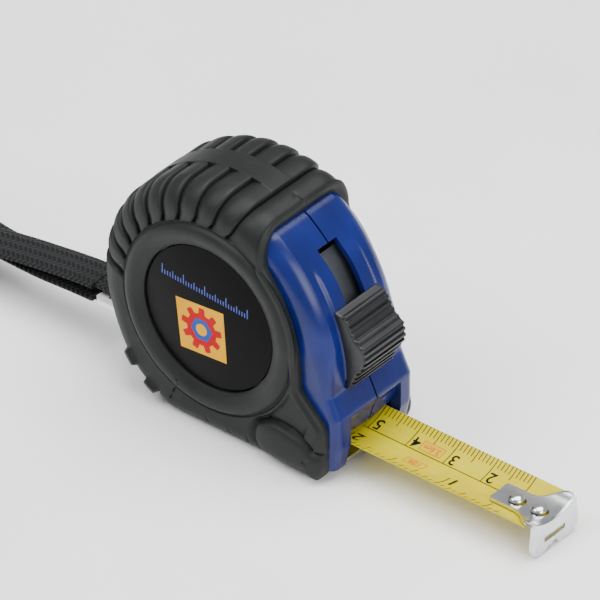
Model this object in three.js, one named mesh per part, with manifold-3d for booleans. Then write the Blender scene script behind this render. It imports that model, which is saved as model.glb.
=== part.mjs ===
// Pocket tape measure, 3.6 m: a two-part shell with rubber grips, a curved steel blade wound
// on a sprung reel, a sliding lock, an end hook, a belt clip and a wrist strap.
// Millimetres. +X is the way the blade runs out, +Y is the left side, +Z is up. The origin
// lies on the flat sole, straight under the reel's axis.
import * as THREE from "three";
import { mergeVertices } from "three/addons/utils/BufferGeometryUtils.js";
import Module from "manifold-3d";

const wasm = await Module();
wasm.setup();

// ---- Driving dimensions ----
const FIT_GAP = 0.3;          // clearance between pieces that meet

const BLADE_WIDTH = 16;       // flat width of the steel strip
const BLADE_BOW = 14.2;       // radius of its hollow, open upwards
const BLADE_THICK = 0.2;
const BLADE_HEIGHT = 6;       // middle of the blade's upper face, over the sole
const BLADE_OUT = 46.8;       // pulled out: from the nose to the inside of the hook

const COIL_RADIUS = 18.6;     // wound tape, outside
const HUB_RADIUS = 13.5;      // drum that the tape is wound on
const HUB_WALL = 1.2;
const DRUM_LIP = 0.2;         // drum stands out of the wound tape at each side
const SLIP_LIP = 1.4;         // slip disc stands out of the wound tape all round
const SLIP_THICK = 0.4;
const SPINDLE_RADIUS = 2.8;
const SPRING_THICK = 0.5;
const SPRING_TURNS = 5;
const SPRING_SIDES = 12;      // straight pieces in each turn

const REEL_ROOM = 3.8;        // from the wound tape to the screw bosses
const BOSS_RADIUS = 2.6;
const BOSS_COVER = 1.2;       // shell outside the screw bosses
const SHELL_WALL = 2.8;       // rim of the shell
const SIDE_WALL = 3.7;        // side of the shell
const CAVITY_FLOOR = 4.4;     // inside floor, over the sole
const SHELL_EDGE = 2;         // rounding of the shell's edges
const PARTING = 0.5;          // the two halves meet a little left of the middle

const GRIP_SKIN = 1.9;        // rubber round the rim
const SIDE_SKIN = 1.4;        // rubber on the sides
const SOLE_SKIN = 1.3;        // rubber under the sole
const SOLE_CUT = 2.1;         // what the flat sole takes off the round
const GRIP_EDGE = 4;          // rounding of the grip's edges
const GROOVE_DEPTH = 0.8;
const GROOVE_WIDTH = 1.6;
const GROOVE_PITCH = 11.1;    // degrees from one finger groove to the next
const GROOVE_COUNT = 10;
const BAND_HALF = 3;          // smooth band along the middle of the rim
const BROW = 14;              // front end of the rubber on top, ahead of the axle
const SIDE_BAND = 7.4;        // bare shell in front of the rubber, seen from the side
const NOSE_BAND = 1.8;        // the same, beside the mouth
const RING_RISE = 1;          // raised ring round the label
const RING_OUTER = 22.5;
const LABEL_RADIUS = 17.1;
const LABEL_THICK = 0.9;

const FRONT_BACK = 7.7;       // centre of the curved front: behind the axle
const FRONT_DROP = 6.5;       // and below it
const FRONT_SWELL = 9.9;      // front radius over the shell's own radius
const NOSE_FLARE = 2.5;       // the mouth stands out of the curved front
const CREST_HEIGHT = 15.9;    // edge over the mouth
const MOUTH_LIP = 2;          // lip over the middle of the blade
const PLATE_THICK = 0.8;      // steel plate in the floor of the mouth

const SLOT_WIDTH = 6.2;       // slot that the lock runs in
const LOCK_TRAVEL = 9.4;
const BUTTON_WIDTH = 14;
const BUTTON_LENGTH = 18.2;
const BUTTON_RISE = 5;
const STRIP_WIDTH = 10.8;     // spring strip behind the button
const STRIP_THICK = 1.1;

const HOOK_THICK = 0.9;
const HOOK_PLAY = 0.9;        // the hook slides by its own thickness
const TONGUE_THICK = 0.7;
const RIVET_RADIUS = 1.1;
const RIVET_HEAD = 1.8;

const SCREW_RADIUS = 1.1;
const SCREW_HEAD = 2.1;

const CLIP_WIDTH = 12;
const CLIP_THICK = 0.9;
const BELT_GAP = 5.9;

const BRACKET_WIDTH = 12;
const BRACKET_THICK = 1.2;
const BRACKET_DROP = 17.1;    // middle of the bracket below the axle
const BRACKET_BAR = 2.5;
const STRAP_FOLD_WIDTH = 7.5;
const STRAP_WIDTH = 9.5;
const STRAP_THICK = 1.4;

// ---- What follows from them ----
const SCREW_CIRCLE = COIL_RADIUS + REEL_ROOM + BOSS_RADIUS;
const SHELL_RADIUS = SCREW_CIRCLE + BOSS_RADIUS + BOSS_COVER;
const CAVITY_RADIUS = SHELL_RADIUS - SHELL_WALL;
const GRIP_RADIUS = SHELL_RADIUS + FIT_GAP + GRIP_SKIN;
const AXLE_HEIGHT = GRIP_RADIUS - SOLE_CUT;

const DRUM_HALF = BLADE_WIDTH / 2 + DRUM_LIP;
const CAVITY_HALF = DRUM_HALF + 2 * FIT_GAP + SLIP_THICK;
const SHELL_HALF = CAVITY_HALF + SIDE_WALL;
const GRIP_HALF = SHELL_HALF + FIT_GAP + SIDE_SKIN;
const RING_HALF = GRIP_HALF + RING_RISE;
const SHELL_FLOOR = SOLE_SKIN + FIT_GAP;
const LABEL_FACE = SHELL_HALF + FIT_GAP + LABEL_THICK;
const LABEL_HOLE = LABEL_RADIUS + FIT_GAP;

const FRONT_RADIUS = SHELL_RADIUS + FRONT_SWELL;
const FRONT_X = -FRONT_BACK;
const FRONT_Z = AXLE_HEIGHT - FRONT_DROP;
const NOSE_X = FRONT_X + FRONT_RADIUS + NOSE_FLARE;
const STRIP_OUTER = FRONT_RADIUS - SHELL_WALL - FIT_GAP;
const STRIP_INNER = STRIP_OUTER - STRIP_THICK;

const BOW_ANGLE = BLADE_WIDTH / 2 / BLADE_BOW;
const BLADE_HALF = BLADE_BOW * Math.sin(BOW_ANGLE);
const BLADE_SAG = BLADE_BOW * (1 - Math.cos(BOW_ANGLE));
const BOW_CENTRE = BLADE_HEIGHT + BLADE_BOW;
const CHANNEL_HALF = BLADE_HALF + 0.5;
const HOOK_X = NOSE_X + BLADE_OUT;
const BLADE_TRAVEL = BLADE_OUT - HOOK_PLAY - FIT_GAP;
const BLADE_START = NOSE_X - 1.3;
const BLADE_END = HOOK_X - HOOK_PLAY - FIT_GAP;
const TONGUE_TOP = FIT_GAP + TONGUE_THICK;
const RIVET_PLACES = [HOOK_X - 9.3, HOOK_X - 3.4];

const CLIP_FACE = LABEL_FACE + FIT_GAP + CLIP_THICK;
const BRACKET_Z = AXLE_HEIGHT - BRACKET_DROP;

const BUTTON_ANGLE = 11.3;    // middle of the button above the front's centre, in degrees
const SCREW_ANGLES = { top: 95, rear: 160, rear_low: 225, front: -40 };

// ---- Materials ----
const material = (color, roughness, metalness = 0) =>
  new THREE.MeshStandardMaterial({ color, roughness, metalness });
const FINISH = {
  rubber: [0x4a4f4d, 0.75],
  blue: [0x2b3f85, 0.32],
  black: [0x1b1c1e, 0.5],
  label: [0x141414, 0.25],
  blade: [0xdcdc50, 0.4, 0.1],
  steel: [0xc8cacc, 0.3, 1],
  screw: [0x8c8f93, 0.4, 1],
  spring: [0x6d7480, 0.4, 1],
  reel: [0xdedbd0, 0.5],
  slip: [0xe8e6de, 0.4],
  strap: [0x17171a, 0.9],
};

// ---- Solids ----
// Signed volume of a triangle mesh: negative when its faces point inwards.
function signedVolume(points, corners) {
  const [a, b, c] = [new THREE.Vector3(), new THREE.Vector3(), new THREE.Vector3()];
  let volume = 0;
  for (let i = 0; i < corners.length; i += 3) {
    a.fromArray(points, 3 * corners[i]);
    b.fromArray(points, 3 * corners[i + 1]);
    c.fromArray(points, 3 * corners[i + 2]);
    volume += a.dot(b.cross(c)) / 6;
  }
  return volume;
}

// A three.js geometry as a solid that can be joined and cut.
function solid(geometry) {
  const bare = geometry.index ? geometry.toNonIndexed() : geometry.clone();
  bare.deleteAttribute("normal");
  bare.deleteAttribute("uv");
  const merged = mergeVertices(bare, 1e-4);
  const points = new Float32Array(merged.attributes.position.array);
  const corners = [];
  for (let i = 0; i < merged.index.count; i += 3) {
    const [a, b, c] = [0, 1, 2].map((k) => merged.index.getX(i + k));
    if (a !== b && b !== c && c !== a) corners.push(a, b, c);
  }
  if (signedVolume(points, corners) < 0) corners.reverse();
  return new wasm.Manifold(
    new wasm.Mesh({ numProp: 3, vertProperties: points, triVerts: new Uint32Array(corners) })
  );
}

function geometryOf(body) {
  const mesh = body.getMesh();
  const geometry = new THREE.BufferGeometry();
  geometry.setAttribute("position", new THREE.BufferAttribute(new Float32Array(mesh.vertProperties), 3));
  geometry.setIndex(new THREE.BufferAttribute(new Uint32Array(mesh.triVerts), 1));
  geometry.computeVertexNormals();
  return geometry;
}

const join = (...bodies) => bodies.reduce((whole, body) => whole.add(body));
const cut = (whole, ...bodies) => bodies.reduce((left, body) => left.subtract(body), whole);

function box([x0, x1], [y0, y1], [z0, z1]) {
  const block = new THREE.BoxGeometry(x1 - x0, y1 - y0, z1 - z0);
  return solid(block.translate((x0 + x1) / 2, (y0 + y1) / 2, (z0 + z1) / 2));
}

// A round bar along Y, from y0 to y1.
function barY(radius, y0, y1, x = 0, z = AXLE_HEIGHT, sides = 32) {
  const bar = new THREE.CylinderGeometry(radius, radius, y1 - y0, sides);
  return solid(bar.translate(x, (y0 + y1) / 2, z));
}

// A round bar along Z, from z0 to z1.
function barZ(radius, z0, z1, x, y = 0, sides = 12) {
  const bar = new THREE.CylinderGeometry(radius, radius, z1 - z0, sides);
  return solid(bar.rotateX(Math.PI / 2).translate(x, y, (z0 + z1) / 2));
}

// A profile of [radius, y] points turned about the reel's axis.
function turned(profile, sides = 36) {
  const points = profile.map(([r, y]) => new THREE.Vector2(r, y));
  points.push(points[0].clone());
  return solid(new THREE.LatheGeometry(points, sides).translate(0, 0, AXLE_HEIGHT));
}

// A side outline of [x, z] points given a width along Y, with rounded edges if edge is set.
function sideBody(outline, y0, y1, edge = 0, edgeSteps = 2) {
  const shape = new THREE.Shape(outline.map(([x, z]) => new THREE.Vector2(x, z)));
  const body = new THREE.ExtrudeGeometry(shape, {
    depth: y1 - y0 - 2 * edge,
    bevelEnabled: edge > 0,
    bevelThickness: edge,
    bevelSize: edge,
    bevelOffset: -edge,
    bevelSegments: edgeSteps,
  });
  return solid(body.rotateX(Math.PI / 2).translate(0, y1 - edge, 0));
}

// A cross-section of [y, z] points carried along X.
function lengthBody(section, x0, x1) {
  const shape = new THREE.Shape(section.map(([y, z]) => new THREE.Vector2(y, z)));
  const body = new THREE.ExtrudeGeometry(shape, { depth: x1 - x0, bevelEnabled: false });
  const axes = new THREE.Matrix4().makeBasis(
    new THREE.Vector3(0, 1, 0),
    new THREE.Vector3(0, 0, 1),
    new THREE.Vector3(1, 0, 0)
  );
  return solid(body.applyMatrix4(axes).translate(x0, 0, 0));
}

// A plan outline of [x, y] points carried up from z0 to z1.
function planBody(outline, z0, z1) {
  const shape = new THREE.Shape(outline.map(([x, y]) => new THREE.Vector2(x, y)));
  const body = new THREE.ExtrudeGeometry(shape, { depth: z1 - z0, bevelEnabled: false });
  return solid(body.translate(0, 0, z0));
}

// Points on an arc about [cx, cz], angles in degrees from +X towards +Z.
function arc(cx, cz, radius, from, to, steps) {
  return Array.from({ length: steps + 1 }, (_, i) => {
    const angle = THREE.MathUtils.degToRad(from + ((to - from) * i) / steps);
    return [cx + radius * Math.cos(angle), cz + radius * Math.sin(angle)];
  });
}
const reelArc = (radius, from, to, steps) => arc(0, AXLE_HEIGHT, radius, from, to, steps);
const frontArc = (radius, from, to, steps) => arc(FRONT_X, FRONT_Z, radius, from, to, steps);
const degrees = (radians) => THREE.MathUtils.radToDeg(radians);
const alongFront = (length) => degrees(length / FRONT_RADIUS);

// A band between two radii about the front's centre.
const frontBand = (inner, outer, from, to, steps) => [
  ...frontArc(outer, from, to, steps),
  ...frontArc(inner, to, from, steps),
];

const mirrorY = (body) => body.scale([1, -1, 1]);
const bothSides = (body) => join(body, mirrorY(body));
const FAR = 200;
const rightHalf = () => box([-FAR, FAR], [-FAR, PARTING - FIT_GAP / 2], [-FAR, FAR]);
const leftHalf = () => box([-FAR, FAR], [PARTING + FIT_GAP / 2, FAR], [-FAR, FAR]);

const screwPlace = (angle) => reelArc(SCREW_CIRCLE, angle, angle, 1)[0];

// ---- Shell ----
// Side outline of the shell: round at the back, swept front, flared mouth, flat floor.
function shellOutline(grow) {
  const floor = SHELL_FLOOR - grow;
  const round = SHELL_RADIUS + grow;
  const rearEnd = 180 + degrees(Math.asin((AXLE_HEIGHT - floor) / round));
  return [
    [NOSE_X - 1.7 + grow, floor],
    [NOSE_X + grow, BLADE_HEIGHT + 3],
    [NOSE_X + grow, CREST_HEIGHT],
    ...frontArc(FRONT_RADIUS + grow, -2, 54, 10),
    ...reelArc(round, 64, rearEnd, 22),
  ];
}

const shellEnvelope = (grow) =>
  sideBody(shellOutline(grow), -SHELL_HALF - grow, SHELL_HALF + grow, SHELL_EDGE);

// Room for the reel: it stops short of the front wall, which the lock strip runs in.
function reelRoom() {
  const round = barY(CAVITY_RADIUS, -CAVITY_HALF, CAVITY_HALF, 0, AXLE_HEIGHT, 40);
  const frontWall = barY(STRIP_INNER - FIT_GAP - 1.9, -CAVITY_HALF, CAVITY_HALF, FRONT_X, FRONT_Z, 60);
  const aboveFloor = box([-FAR, FAR], [-FAR, FAR], [CAVITY_FLOOR, FAR]);
  return round.intersect(frontWall).intersect(aboveFloor);
}

const WAY_START = 12;

// The way out for the blade: curved lip above, steel plate below, and room behind the
// cavity for the stretch that slides in.
function bladeWay() {
  const lipHigh = BLADE_HEIGHT + MOUTH_LIP;
  const lipSag = BLADE_SAG + 0.9 - MOUTH_LIP;
  const lipRadius = (CHANNEL_HALF ** 2 + lipSag ** 2) / (2 * lipSag);
  const lipAngle = degrees(Math.asin(CHANNEL_HALF / lipRadius));
  const lip = arc(0, lipHigh + lipRadius, lipRadius, -90 + lipAngle, -90 - lipAngle, 8);
  const plateBed = BLADE_HEIGHT - BLADE_THICK - 1.9 - PLATE_THICK - FIT_GAP;
  const mouth = lengthBody([[-CHANNEL_HALF, plateBed], [CHANNEL_HALF, plateBed], ...lip], WAY_START, NOSE_X + 1);
  const back = BLADE_START - BLADE_TRAVEL - 2 * FIT_GAP;
  const rearRoom = box(
    [back, WAY_START + 1],
    [-CHANNEL_HALF, CHANNEL_HALF],
    [BLADE_HEIGHT - 0.5, BLADE_HEIGHT + BLADE_SAG + 0.6]
  ).intersect(barY(SHELL_RADIUS - 1.2, -SHELL_HALF, SHELL_HALF, 0, AXLE_HEIGHT, 40));
  const rivetWay = box([WAY_START, NOSE_X + 1], [-RIVET_HEAD - 0.5, RIVET_HEAD + 0.5], [lipHigh - 1, lipHigh + 0.9]);
  return join(mouth, rearRoom, rivetWay);
}

// Between the cheeks the front falls back from the crest to the lip.
const mouthHollow = () =>
  sideBody(
    [[NOSE_X + 1, CREST_HEIGHT - 0.6], [NOSE_X - 2.5, BLADE_HEIGHT + 1.9], [NOSE_X + 1, BLADE_HEIGHT + 1.9]],
    -CHANNEL_HALF,
    CHANNEL_HALF
  );

// Ends of the strip, the stem and the slot: degrees above the front's centre.
const STRIP_LOW = -24.4;
const STRIP_HIGH = 42;
const STEM_LOW = 13;
const STEM_HIGH = 23;
const SLOT_HIGH = STEM_HIGH + alongFront(LOCK_TRAVEL) + 7;

// The curved passage for the lock strip and the slot for the button's stem.
function lockWay() {
  const passage = frontBand(
    STRIP_INNER - FIT_GAP,
    STRIP_OUTER + FIT_GAP,
    STRIP_LOW - 1,
    STRIP_HIGH + alongFront(LOCK_TRAVEL) + 2,
    16
  );
  const slot = frontBand(STRIP_OUTER, FRONT_RADIUS + 3, STEM_LOW - 1, SLOT_HIGH, 5);
  return join(
    sideBody(passage, -STRIP_WIDTH / 2 - FIT_GAP, STRIP_WIDTH / 2 + FIT_GAP),
    sideBody(slot, -SLOT_WIDTH / 2, SLOT_WIDTH / 2)
  );
}
const BRACKET_ROOT = -Math.sqrt(SHELL_RADIUS ** 2 - BRACKET_DROP ** 2) + 2.3;

// Pocket and slit that hold the bracket's T-shaped end in the rear wall.
function bracketWay() {
  const high = BRACKET_THICK / 2 + FIT_GAP;
  const heights = [BRACKET_Z - high, BRACKET_Z + high];
  const pocket = box(
    [BRACKET_ROOT - 1.2 - FIT_GAP, BRACKET_ROOT + FIT_GAP],
    [-BRACKET_WIDTH / 2 - 2.3, BRACKET_WIDTH / 2 + 2.3],
    heights
  );
  const slit = box(
    [-GRIP_RADIUS, BRACKET_ROOT],
    [-BRACKET_WIDTH / 2 - FIT_GAP, BRACKET_WIDTH / 2 + FIT_GAP],
    heights
  );
  return join(pocket, slit);
}
// Bosses join the two side walls; the spindle's ends sit in shallow rings.
function shellBosses() {
  const bosses = Object.values(SCREW_ANGLES).map((angle) => {
    const [x, z] = screwPlace(angle);
    return barY(BOSS_RADIUS, -CAVITY_HALF - 1, CAVITY_HALF + 1, x, z, 14);
  });
  const ring = turned(
    [
      [SPINDLE_RADIUS + FIT_GAP, CAVITY_HALF - 0.7],
      [SPINDLE_RADIUS + 1.8, CAVITY_HALF - 0.7],
      [SPINDLE_RADIUS + 1.8, CAVITY_HALF + 1],
      [SPINDLE_RADIUS + FIT_GAP, CAVITY_HALF + 1],
    ],
    24
  );
  return join(...bosses, ring, mirrorY(ring));
}

// Screws go in from the left: a sunk head, then a hole that ends blind in the right boss.
function screwHoles() {
  const holes = Object.values(SCREW_ANGLES).map((angle) => {
    const [x, z] = screwPlace(angle);
    return join(
      barY(SCREW_RADIUS + FIT_GAP, -CAVITY_HALF + 1, SHELL_HALF, x, z, 12),
      barY(SCREW_HEAD + FIT_GAP, SHELL_HALF - 2, FAR, x, z, 14)
    );
  });
  return join(...holes);
}

const clipScrewHole = () => barY(SPINDLE_RADIUS / 2 + FIT_GAP, SPINDLE_RADIUS, FAR, 0, AXLE_HEIGHT, 20);

function shell() {
  const hollow = cut(shellEnvelope(0), reelRoom());
  return cut(join(hollow, shellBosses()), bladeWay(), mouthHollow(), lockWay(), bracketWay(), screwHoles(),
    clipScrewHole());
}

// ---- Grips ----
// Side outline of the rubber before its front is cut back: round, with a flat sole that runs
// out to a rounded toe under the mouth.
function gripOutline(grow) {
  const round = GRIP_RADIUS + grow;
  const soleAngle = 180 + degrees(Math.asin((AXLE_HEIGHT + grow) / round));
  const toeX = NOSE_X - NOSE_BAND + grow;
  const toe = GRIP_EDGE + 0.5;
  return [
    ...reelArc(round, 20, soleAngle, 32),
    ...arc(toeX - toe, toe - grow, toe, -90, 0, 3),
    [toeX, CREST_HEIGHT],
  ];
}

// What is cut away in front of the rubber: a band of the shell stays bare beside the curved
// front, and a narrower one beside the mouth.
function gripFront() {
  const bandX = FRONT_X - SIDE_BAND;
  const bandTop = degrees(Math.acos((BROW - bandX) / FRONT_RADIUS));
  const [lowX, lowZ] = arc(bandX, FRONT_Z, FRONT_RADIUS, -2.5, -2.5, 1)[0];
  const toeX = NOSE_X - NOSE_BAND;
  const outline = [
    [FAR, FAR], [BROW, FAR],
    ...arc(bandX, FRONT_Z, FRONT_RADIUS, bandTop, -2.5, 6),
    [toeX - 0.01, lowZ - (toeX - lowX)], [FAR, lowZ - (toeX - lowX)],
  ];
  return sideBody(outline, -FAR, FAR);
}

// Finger grooves across the rim and down the sides as far as the label ring. The first one
// runs right across; the others leave a smooth band in the middle.
function grooveCutters() {
  const cutters = Array.from({ length: GROOVE_COUNT }, (_, k) => {
    const angle = 73.9 + GROOVE_PITCH * k;
    const inner = k === 0 ? 0 : BAND_HALF;
    const slab = new THREE.BoxGeometry(12, GRIP_HALF + 1 - inner, GROOVE_WIDTH);
    slab.translate(RING_OUTER + 1.2 + 6, (GRIP_HALF + 1 + inner) / 2, 0);
    slab.rotateY(-THREE.MathUtils.degToRad(angle));
    return bothSides(solid(slab.translate(0, 0, AXLE_HEIGHT)));
  });
  const core = sideBody(gripOutline(-GROOVE_DEPTH), -GRIP_HALF + GROOVE_DEPTH, GRIP_HALF - GROOVE_DEPTH, GRIP_EDGE);
  return cut(join(...cutters), core);
}

// Rounded foot low on the side, beside the mouth.
function sideLobe() {
  const curve = new THREE.SplineCurve(
    [
      [-19.9, 6.6], [-17, 10.1], [-11.5, 10.3], [-6.2, 8.1], [-5, 4.3], [-9, 1.9], [-15, 1.6], [-19.9, 6.6],
    ].map(([back, z]) => new THREE.Vector2(NOSE_X + back, z))
  );
  const outline = curve.getPoints(14).slice(0, -1).map((p) => [p.x, p.y]);
  return bothSides(sideBody(outline, GRIP_HALF - 2, GRIP_HALF + 0.9, 0.8, 1));
}

function labelRing() {
  const low = SHELL_HALF + FIT_GAP;
  return bothSides(
    turned([
      [LABEL_HOLE, low],
      [RING_OUTER + 0.7, low],
      [RING_OUTER, GRIP_HALF + 0.5],
      [RING_OUTER - 0.9, RING_HALF],
      [RING_OUTER - 2.7, RING_HALF],
      [LABEL_HOLE, RING_HALF - 0.9],
    ])
  );
}

function grip() {
  const outer = sideBody(gripOutline(0), -GRIP_HALF, GRIP_HALF, GRIP_EDGE);
  const labelHole = bothSides(barY(LABEL_HOLE, SHELL_HALF - 1, FAR, 0, AXLE_HEIGHT, 36));
  const whole = join(cut(outer, grooveCutters()), labelRing(), sideLobe());
  const bracketSlit = box(
    [-FAR, 0],
    [-BRACKET_WIDTH / 2 - FIT_GAP, BRACKET_WIDTH / 2 + FIT_GAP],
    [BRACKET_Z - BRACKET_THICK / 2 - FIT_GAP, BRACKET_Z + BRACKET_THICK / 2 + FIT_GAP]
  );
  return cut(whole, gripFront(), labelHole, shellEnvelope(FIT_GAP), bracketSlit, screwHoles());
}

// ---- Labels ----
const rightLabel = () => barY(LABEL_RADIUS, -LABEL_FACE, -LABEL_FACE + LABEL_THICK, 0, AXLE_HEIGHT, 36);
const leftLabel = () =>
  cut(barY(LABEL_RADIUS, LABEL_FACE - LABEL_THICK, LABEL_FACE, 0, AXLE_HEIGHT, 36), clipScrewHole());

// ---- Reel ----
function spindle() {
  const post = barY(SPINDLE_RADIUS, -CAVITY_HALF + FIT_GAP, CAVITY_HALF - FIT_GAP, 0, AXLE_HEIGHT, 24);
  const springSlot = box([-FAR, FAR], [-FAR, 0], [AXLE_HEIGHT - 0.5, AXLE_HEIGHT + 0.5]);
  return cut(post, springSlot, clipScrewHole());
}

// The drum is a tube with a web on the right; a disc closes it on the left.
const reelDrum = () =>
  turned([
    [SPINDLE_RADIUS + 0.5, -DRUM_HALF],
    [HUB_RADIUS, -DRUM_HALF],
    [HUB_RADIUS, DRUM_HALF],
    [HUB_RADIUS - HUB_WALL, DRUM_HALF],
    [HUB_RADIUS - HUB_WALL, -DRUM_HALF + 1],
    [SPINDLE_RADIUS + 0.5, -DRUM_HALF + 1],
  ]);

const ringAboutAxle = (inner, outer, y0, y1, sides) =>
  turned([[inner, y0], [outer, y0], [outer, y1], [inner, y1]], sides);

const drumCover = () =>
  ringAboutAxle(SPINDLE_RADIUS + 0.5, HUB_RADIUS - HUB_WALL - FIT_GAP, DRUM_HALF - 1, DRUM_HALF);

const tapeCoil = () =>
  ringAboutAxle(HUB_RADIUS + FIT_GAP, COIL_RADIUS, -BLADE_WIDTH / 2 + 0.1, BLADE_WIDTH / 2 - 0.1, 40);

const slipDisc = () =>
  ringAboutAxle(SPINDLE_RADIUS + 2.4, COIL_RADIUS + SLIP_LIP, DRUM_HALF + FIT_GAP, DRUM_HALF + FIT_GAP + SLIP_THICK);

// A flat spiral that widens evenly from the spindle to the drum's wall.
function powerSpring() {
  const inner = SPINDLE_RADIUS + 1.2;
  const outer = HUB_RADIUS - HUB_WALL - FIT_GAP - SPRING_THICK;
  const steps = SPRING_TURNS * SPRING_SIDES;
  const spiral = (offset) =>
    Array.from({ length: steps + 1 }, (_, i) => {
      const angle = (i / SPRING_SIDES) * 2 * Math.PI;
      const radius = inner + ((outer - inner) * i) / steps + offset;
      return [radius * Math.cos(angle), AXLE_HEIGHT + radius * Math.sin(angle)];
    });
  const half = DRUM_HALF - 1 - 2 * FIT_GAP;
  return sideBody([...spiral(SPRING_THICK), ...spiral(0).reverse()], -half, half);
}

// ---- Blade ----
// A slice of the blade's bow: from low to high above its upper face, out to a half width.
function bowSection(low, high, halfWidth, steps = 8) {
  const spread = (radius) => degrees(Math.asin(Math.min(halfWidth / radius, 1)));
  const face = (rise, way) => {
    const reach = way * spread(BLADE_BOW - rise);
    return arc(0, BOW_CENTRE, BLADE_BOW - rise, -90 - reach, -90 + reach, steps);
  };
  return [...face(low, 1), ...face(high, -1)];
}

function tapeBlade() {
  const strip = lengthBody(bowSection(-BLADE_THICK, 0, BLADE_HALF), BLADE_START, BLADE_END);
  const holes = RIVET_PLACES.map((x) => barZ(RIVET_RADIUS + FIT_GAP, 0, BLADE_HEIGHT + 3, x));
  return cut(strip, ...holes);
}

// The stretch between the blade and the wound tape: it flattens and climbs to the coil.
function tapeTail() {
  const lead = [[BLADE_START - FIT_GAP, 1, 0], [9, 1, 0], [6, 0.8, 0.5], [3, 0.4, 1.9], [0, 0.1, 3.4]];
  const across = 8;
  const points = [];
  const rim = 2 * (across + 1);
  for (const [x, bow, climb] of lead) {
    for (const face of [0, -BLADE_THICK]) {
      for (let i = 0; i <= across; i++) {
        const angle = BOW_ANGLE * ((2 * i) / across - 1) * (face === 0 ? 1 : -1);
        const radius = BLADE_BOW / bow;
        const y = radius * Math.sin(angle * bow);
        const z = BLADE_HEIGHT + climb + radius * (1 - Math.cos(angle * bow)) + face;
        points.push(x, y, z);
      }
    }
  }
  const corners = [];
  const quad = (a, b, c, d) => corners.push(a, b, c, a, c, d);
  for (let s = 0; s + 1 < lead.length; s++) {
    for (let i = 0; i < rim; i++) {
      const next = (i + 1) % rim;
      quad(s * rim + i, s * rim + next, (s + 1) * rim + next, (s + 1) * rim + i);
    }
  }
  for (const [base, flip] of [[0, false], [(lead.length - 1) * rim, true]]) {
    for (let i = 0; i < across; i++) {
      const ring = [base + i, base + i + 1, base + rim - 2 - i, base + rim - 1 - i];
      quad(...(flip ? ring : ring.reverse()));
    }
  }
  const geometry = new THREE.BufferGeometry();
  geometry.setAttribute("position", new THREE.Float32BufferAttribute(points, 3));
  geometry.setIndex(corners);
  return solid(geometry);
}

function rivet(x) {
  const top = BLADE_HEIGHT + TONGUE_TOP + FIT_GAP;
  const under = BLADE_HEIGHT - BLADE_THICK - FIT_GAP;
  return join(
    barZ(RIVET_RADIUS, under - 0.3, top + 0.5, x),
    barZ(RIVET_HEAD, top, top + 0.9, x, 0, 16),
    barZ(RIVET_HEAD - 0.2, under - 0.6, under, x, 0, 16)
  );
}

// ---- Hook ----
// The tongue lies in the blade's hollow and widens towards the plate that hangs down.
function endHook() {
  const halfWidth = BLADE_HALF + 0.2;
  const flare = new THREE.QuadraticBezierCurve(
    new THREE.Vector2(HOOK_X - 8.3, 3.3),
    new THREE.Vector2(HOOK_X - 3.4, 4.2),
    new THREE.Vector2(HOOK_X - 1.8, halfWidth)
  );
  const side = flare.getPoints(6).map((p) => [p.x, p.y]);
  const plan = [
    [HOOK_X - 13.4, 3.3],
    [HOOK_X - 14.3, 2.4],
    [HOOK_X - 14.3, -2.4],
    [HOOK_X - 13.4, -3.3],
    ...side.map(([x, y]) => [x, -y]),
    [HOOK_X + HOOK_THICK, -halfWidth],
    [HOOK_X + HOOK_THICK, halfWidth],
    ...side.reverse(),
  ];
  const sheet = lengthBody(bowSection(FIT_GAP, TONGUE_TOP, halfWidth), HOOK_X - FAR, HOOK_X + HOOK_THICK);
  const tongue = sheet.intersect(planBody(plan, 0, FAR));
  const slots = RIVET_PLACES.map((x) => {
    const hole = (shift) => barZ(RIVET_RADIUS + FIT_GAP, 0, BLADE_HEIGHT + 5, x + shift);
    const middle = box([x, x + HOOK_PLAY], [-RIVET_RADIUS - FIT_GAP, RIVET_RADIUS + FIT_GAP], [0, BLADE_HEIGHT + 5]);
    return join(hole(0), hole(HOOK_PLAY), middle);
  });
  return join(cut(tongue, ...slots), hookPlate(halfWidth));
}

function hookPlate(halfWidth) {
  const low = 0.15;
  const top = bowSection(FIT_GAP, TONGUE_TOP, halfWidth).slice(9);
  const face = lengthBody(
    [[-halfWidth, low + 1.9], [-halfWidth + 1.5, low], [-1, low], [-0.6, low + 1.3], [0.6, low + 1.3], [1, low],
      [halfWidth - 1.5, low], [halfWidth, low + 1.9], ...top],
    HOOK_X,
    HOOK_X + HOOK_THICK
  );
  const nailSlot = box([HOOK_X - 1, HOOK_X + 3], [-3.5, 3.5], [low + 2.6, low + 3.8]);
  return cut(face, nailSlot);
}

// ---- Lock ----
// Button profile: ribbed hump over the curved front, higher at its middle.
function buttonOutline() {
  const hump = new THREE.SplineCurve(
    [
      [0.5, 0.05], [0.43, 0.45], [0.28, 0.52], [0.17, 0.66], [0.07, 1], [-0.1, 0.97], [-0.24, 0.55], [-0.5, 0.05],
    ].map(([along, rise]) => new THREE.Vector2(along, rise))
  );
  const ribs = 10;
  const steps = 4 * ribs;
  const crown = hump.getSpacedPoints(steps).map((p, i) => {
    const rib = i > 2 && i < steps - 2 && i % 4 > 1 ? -0.35 : 0;
    const radius = FRONT_RADIUS + FIT_GAP + 0.3 + BUTTON_RISE * p.y + rib;
    const angle = BUTTON_ANGLE + alongFront(BUTTON_LENGTH * p.x);
    return frontArc(radius, angle, angle, 1)[0];
  });
  const reach = alongFront(BUTTON_LENGTH / 2);
  return [...crown, ...frontArc(FRONT_RADIUS + FIT_GAP, BUTTON_ANGLE - reach, BUTTON_ANGLE + reach, 6)];
}

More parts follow.
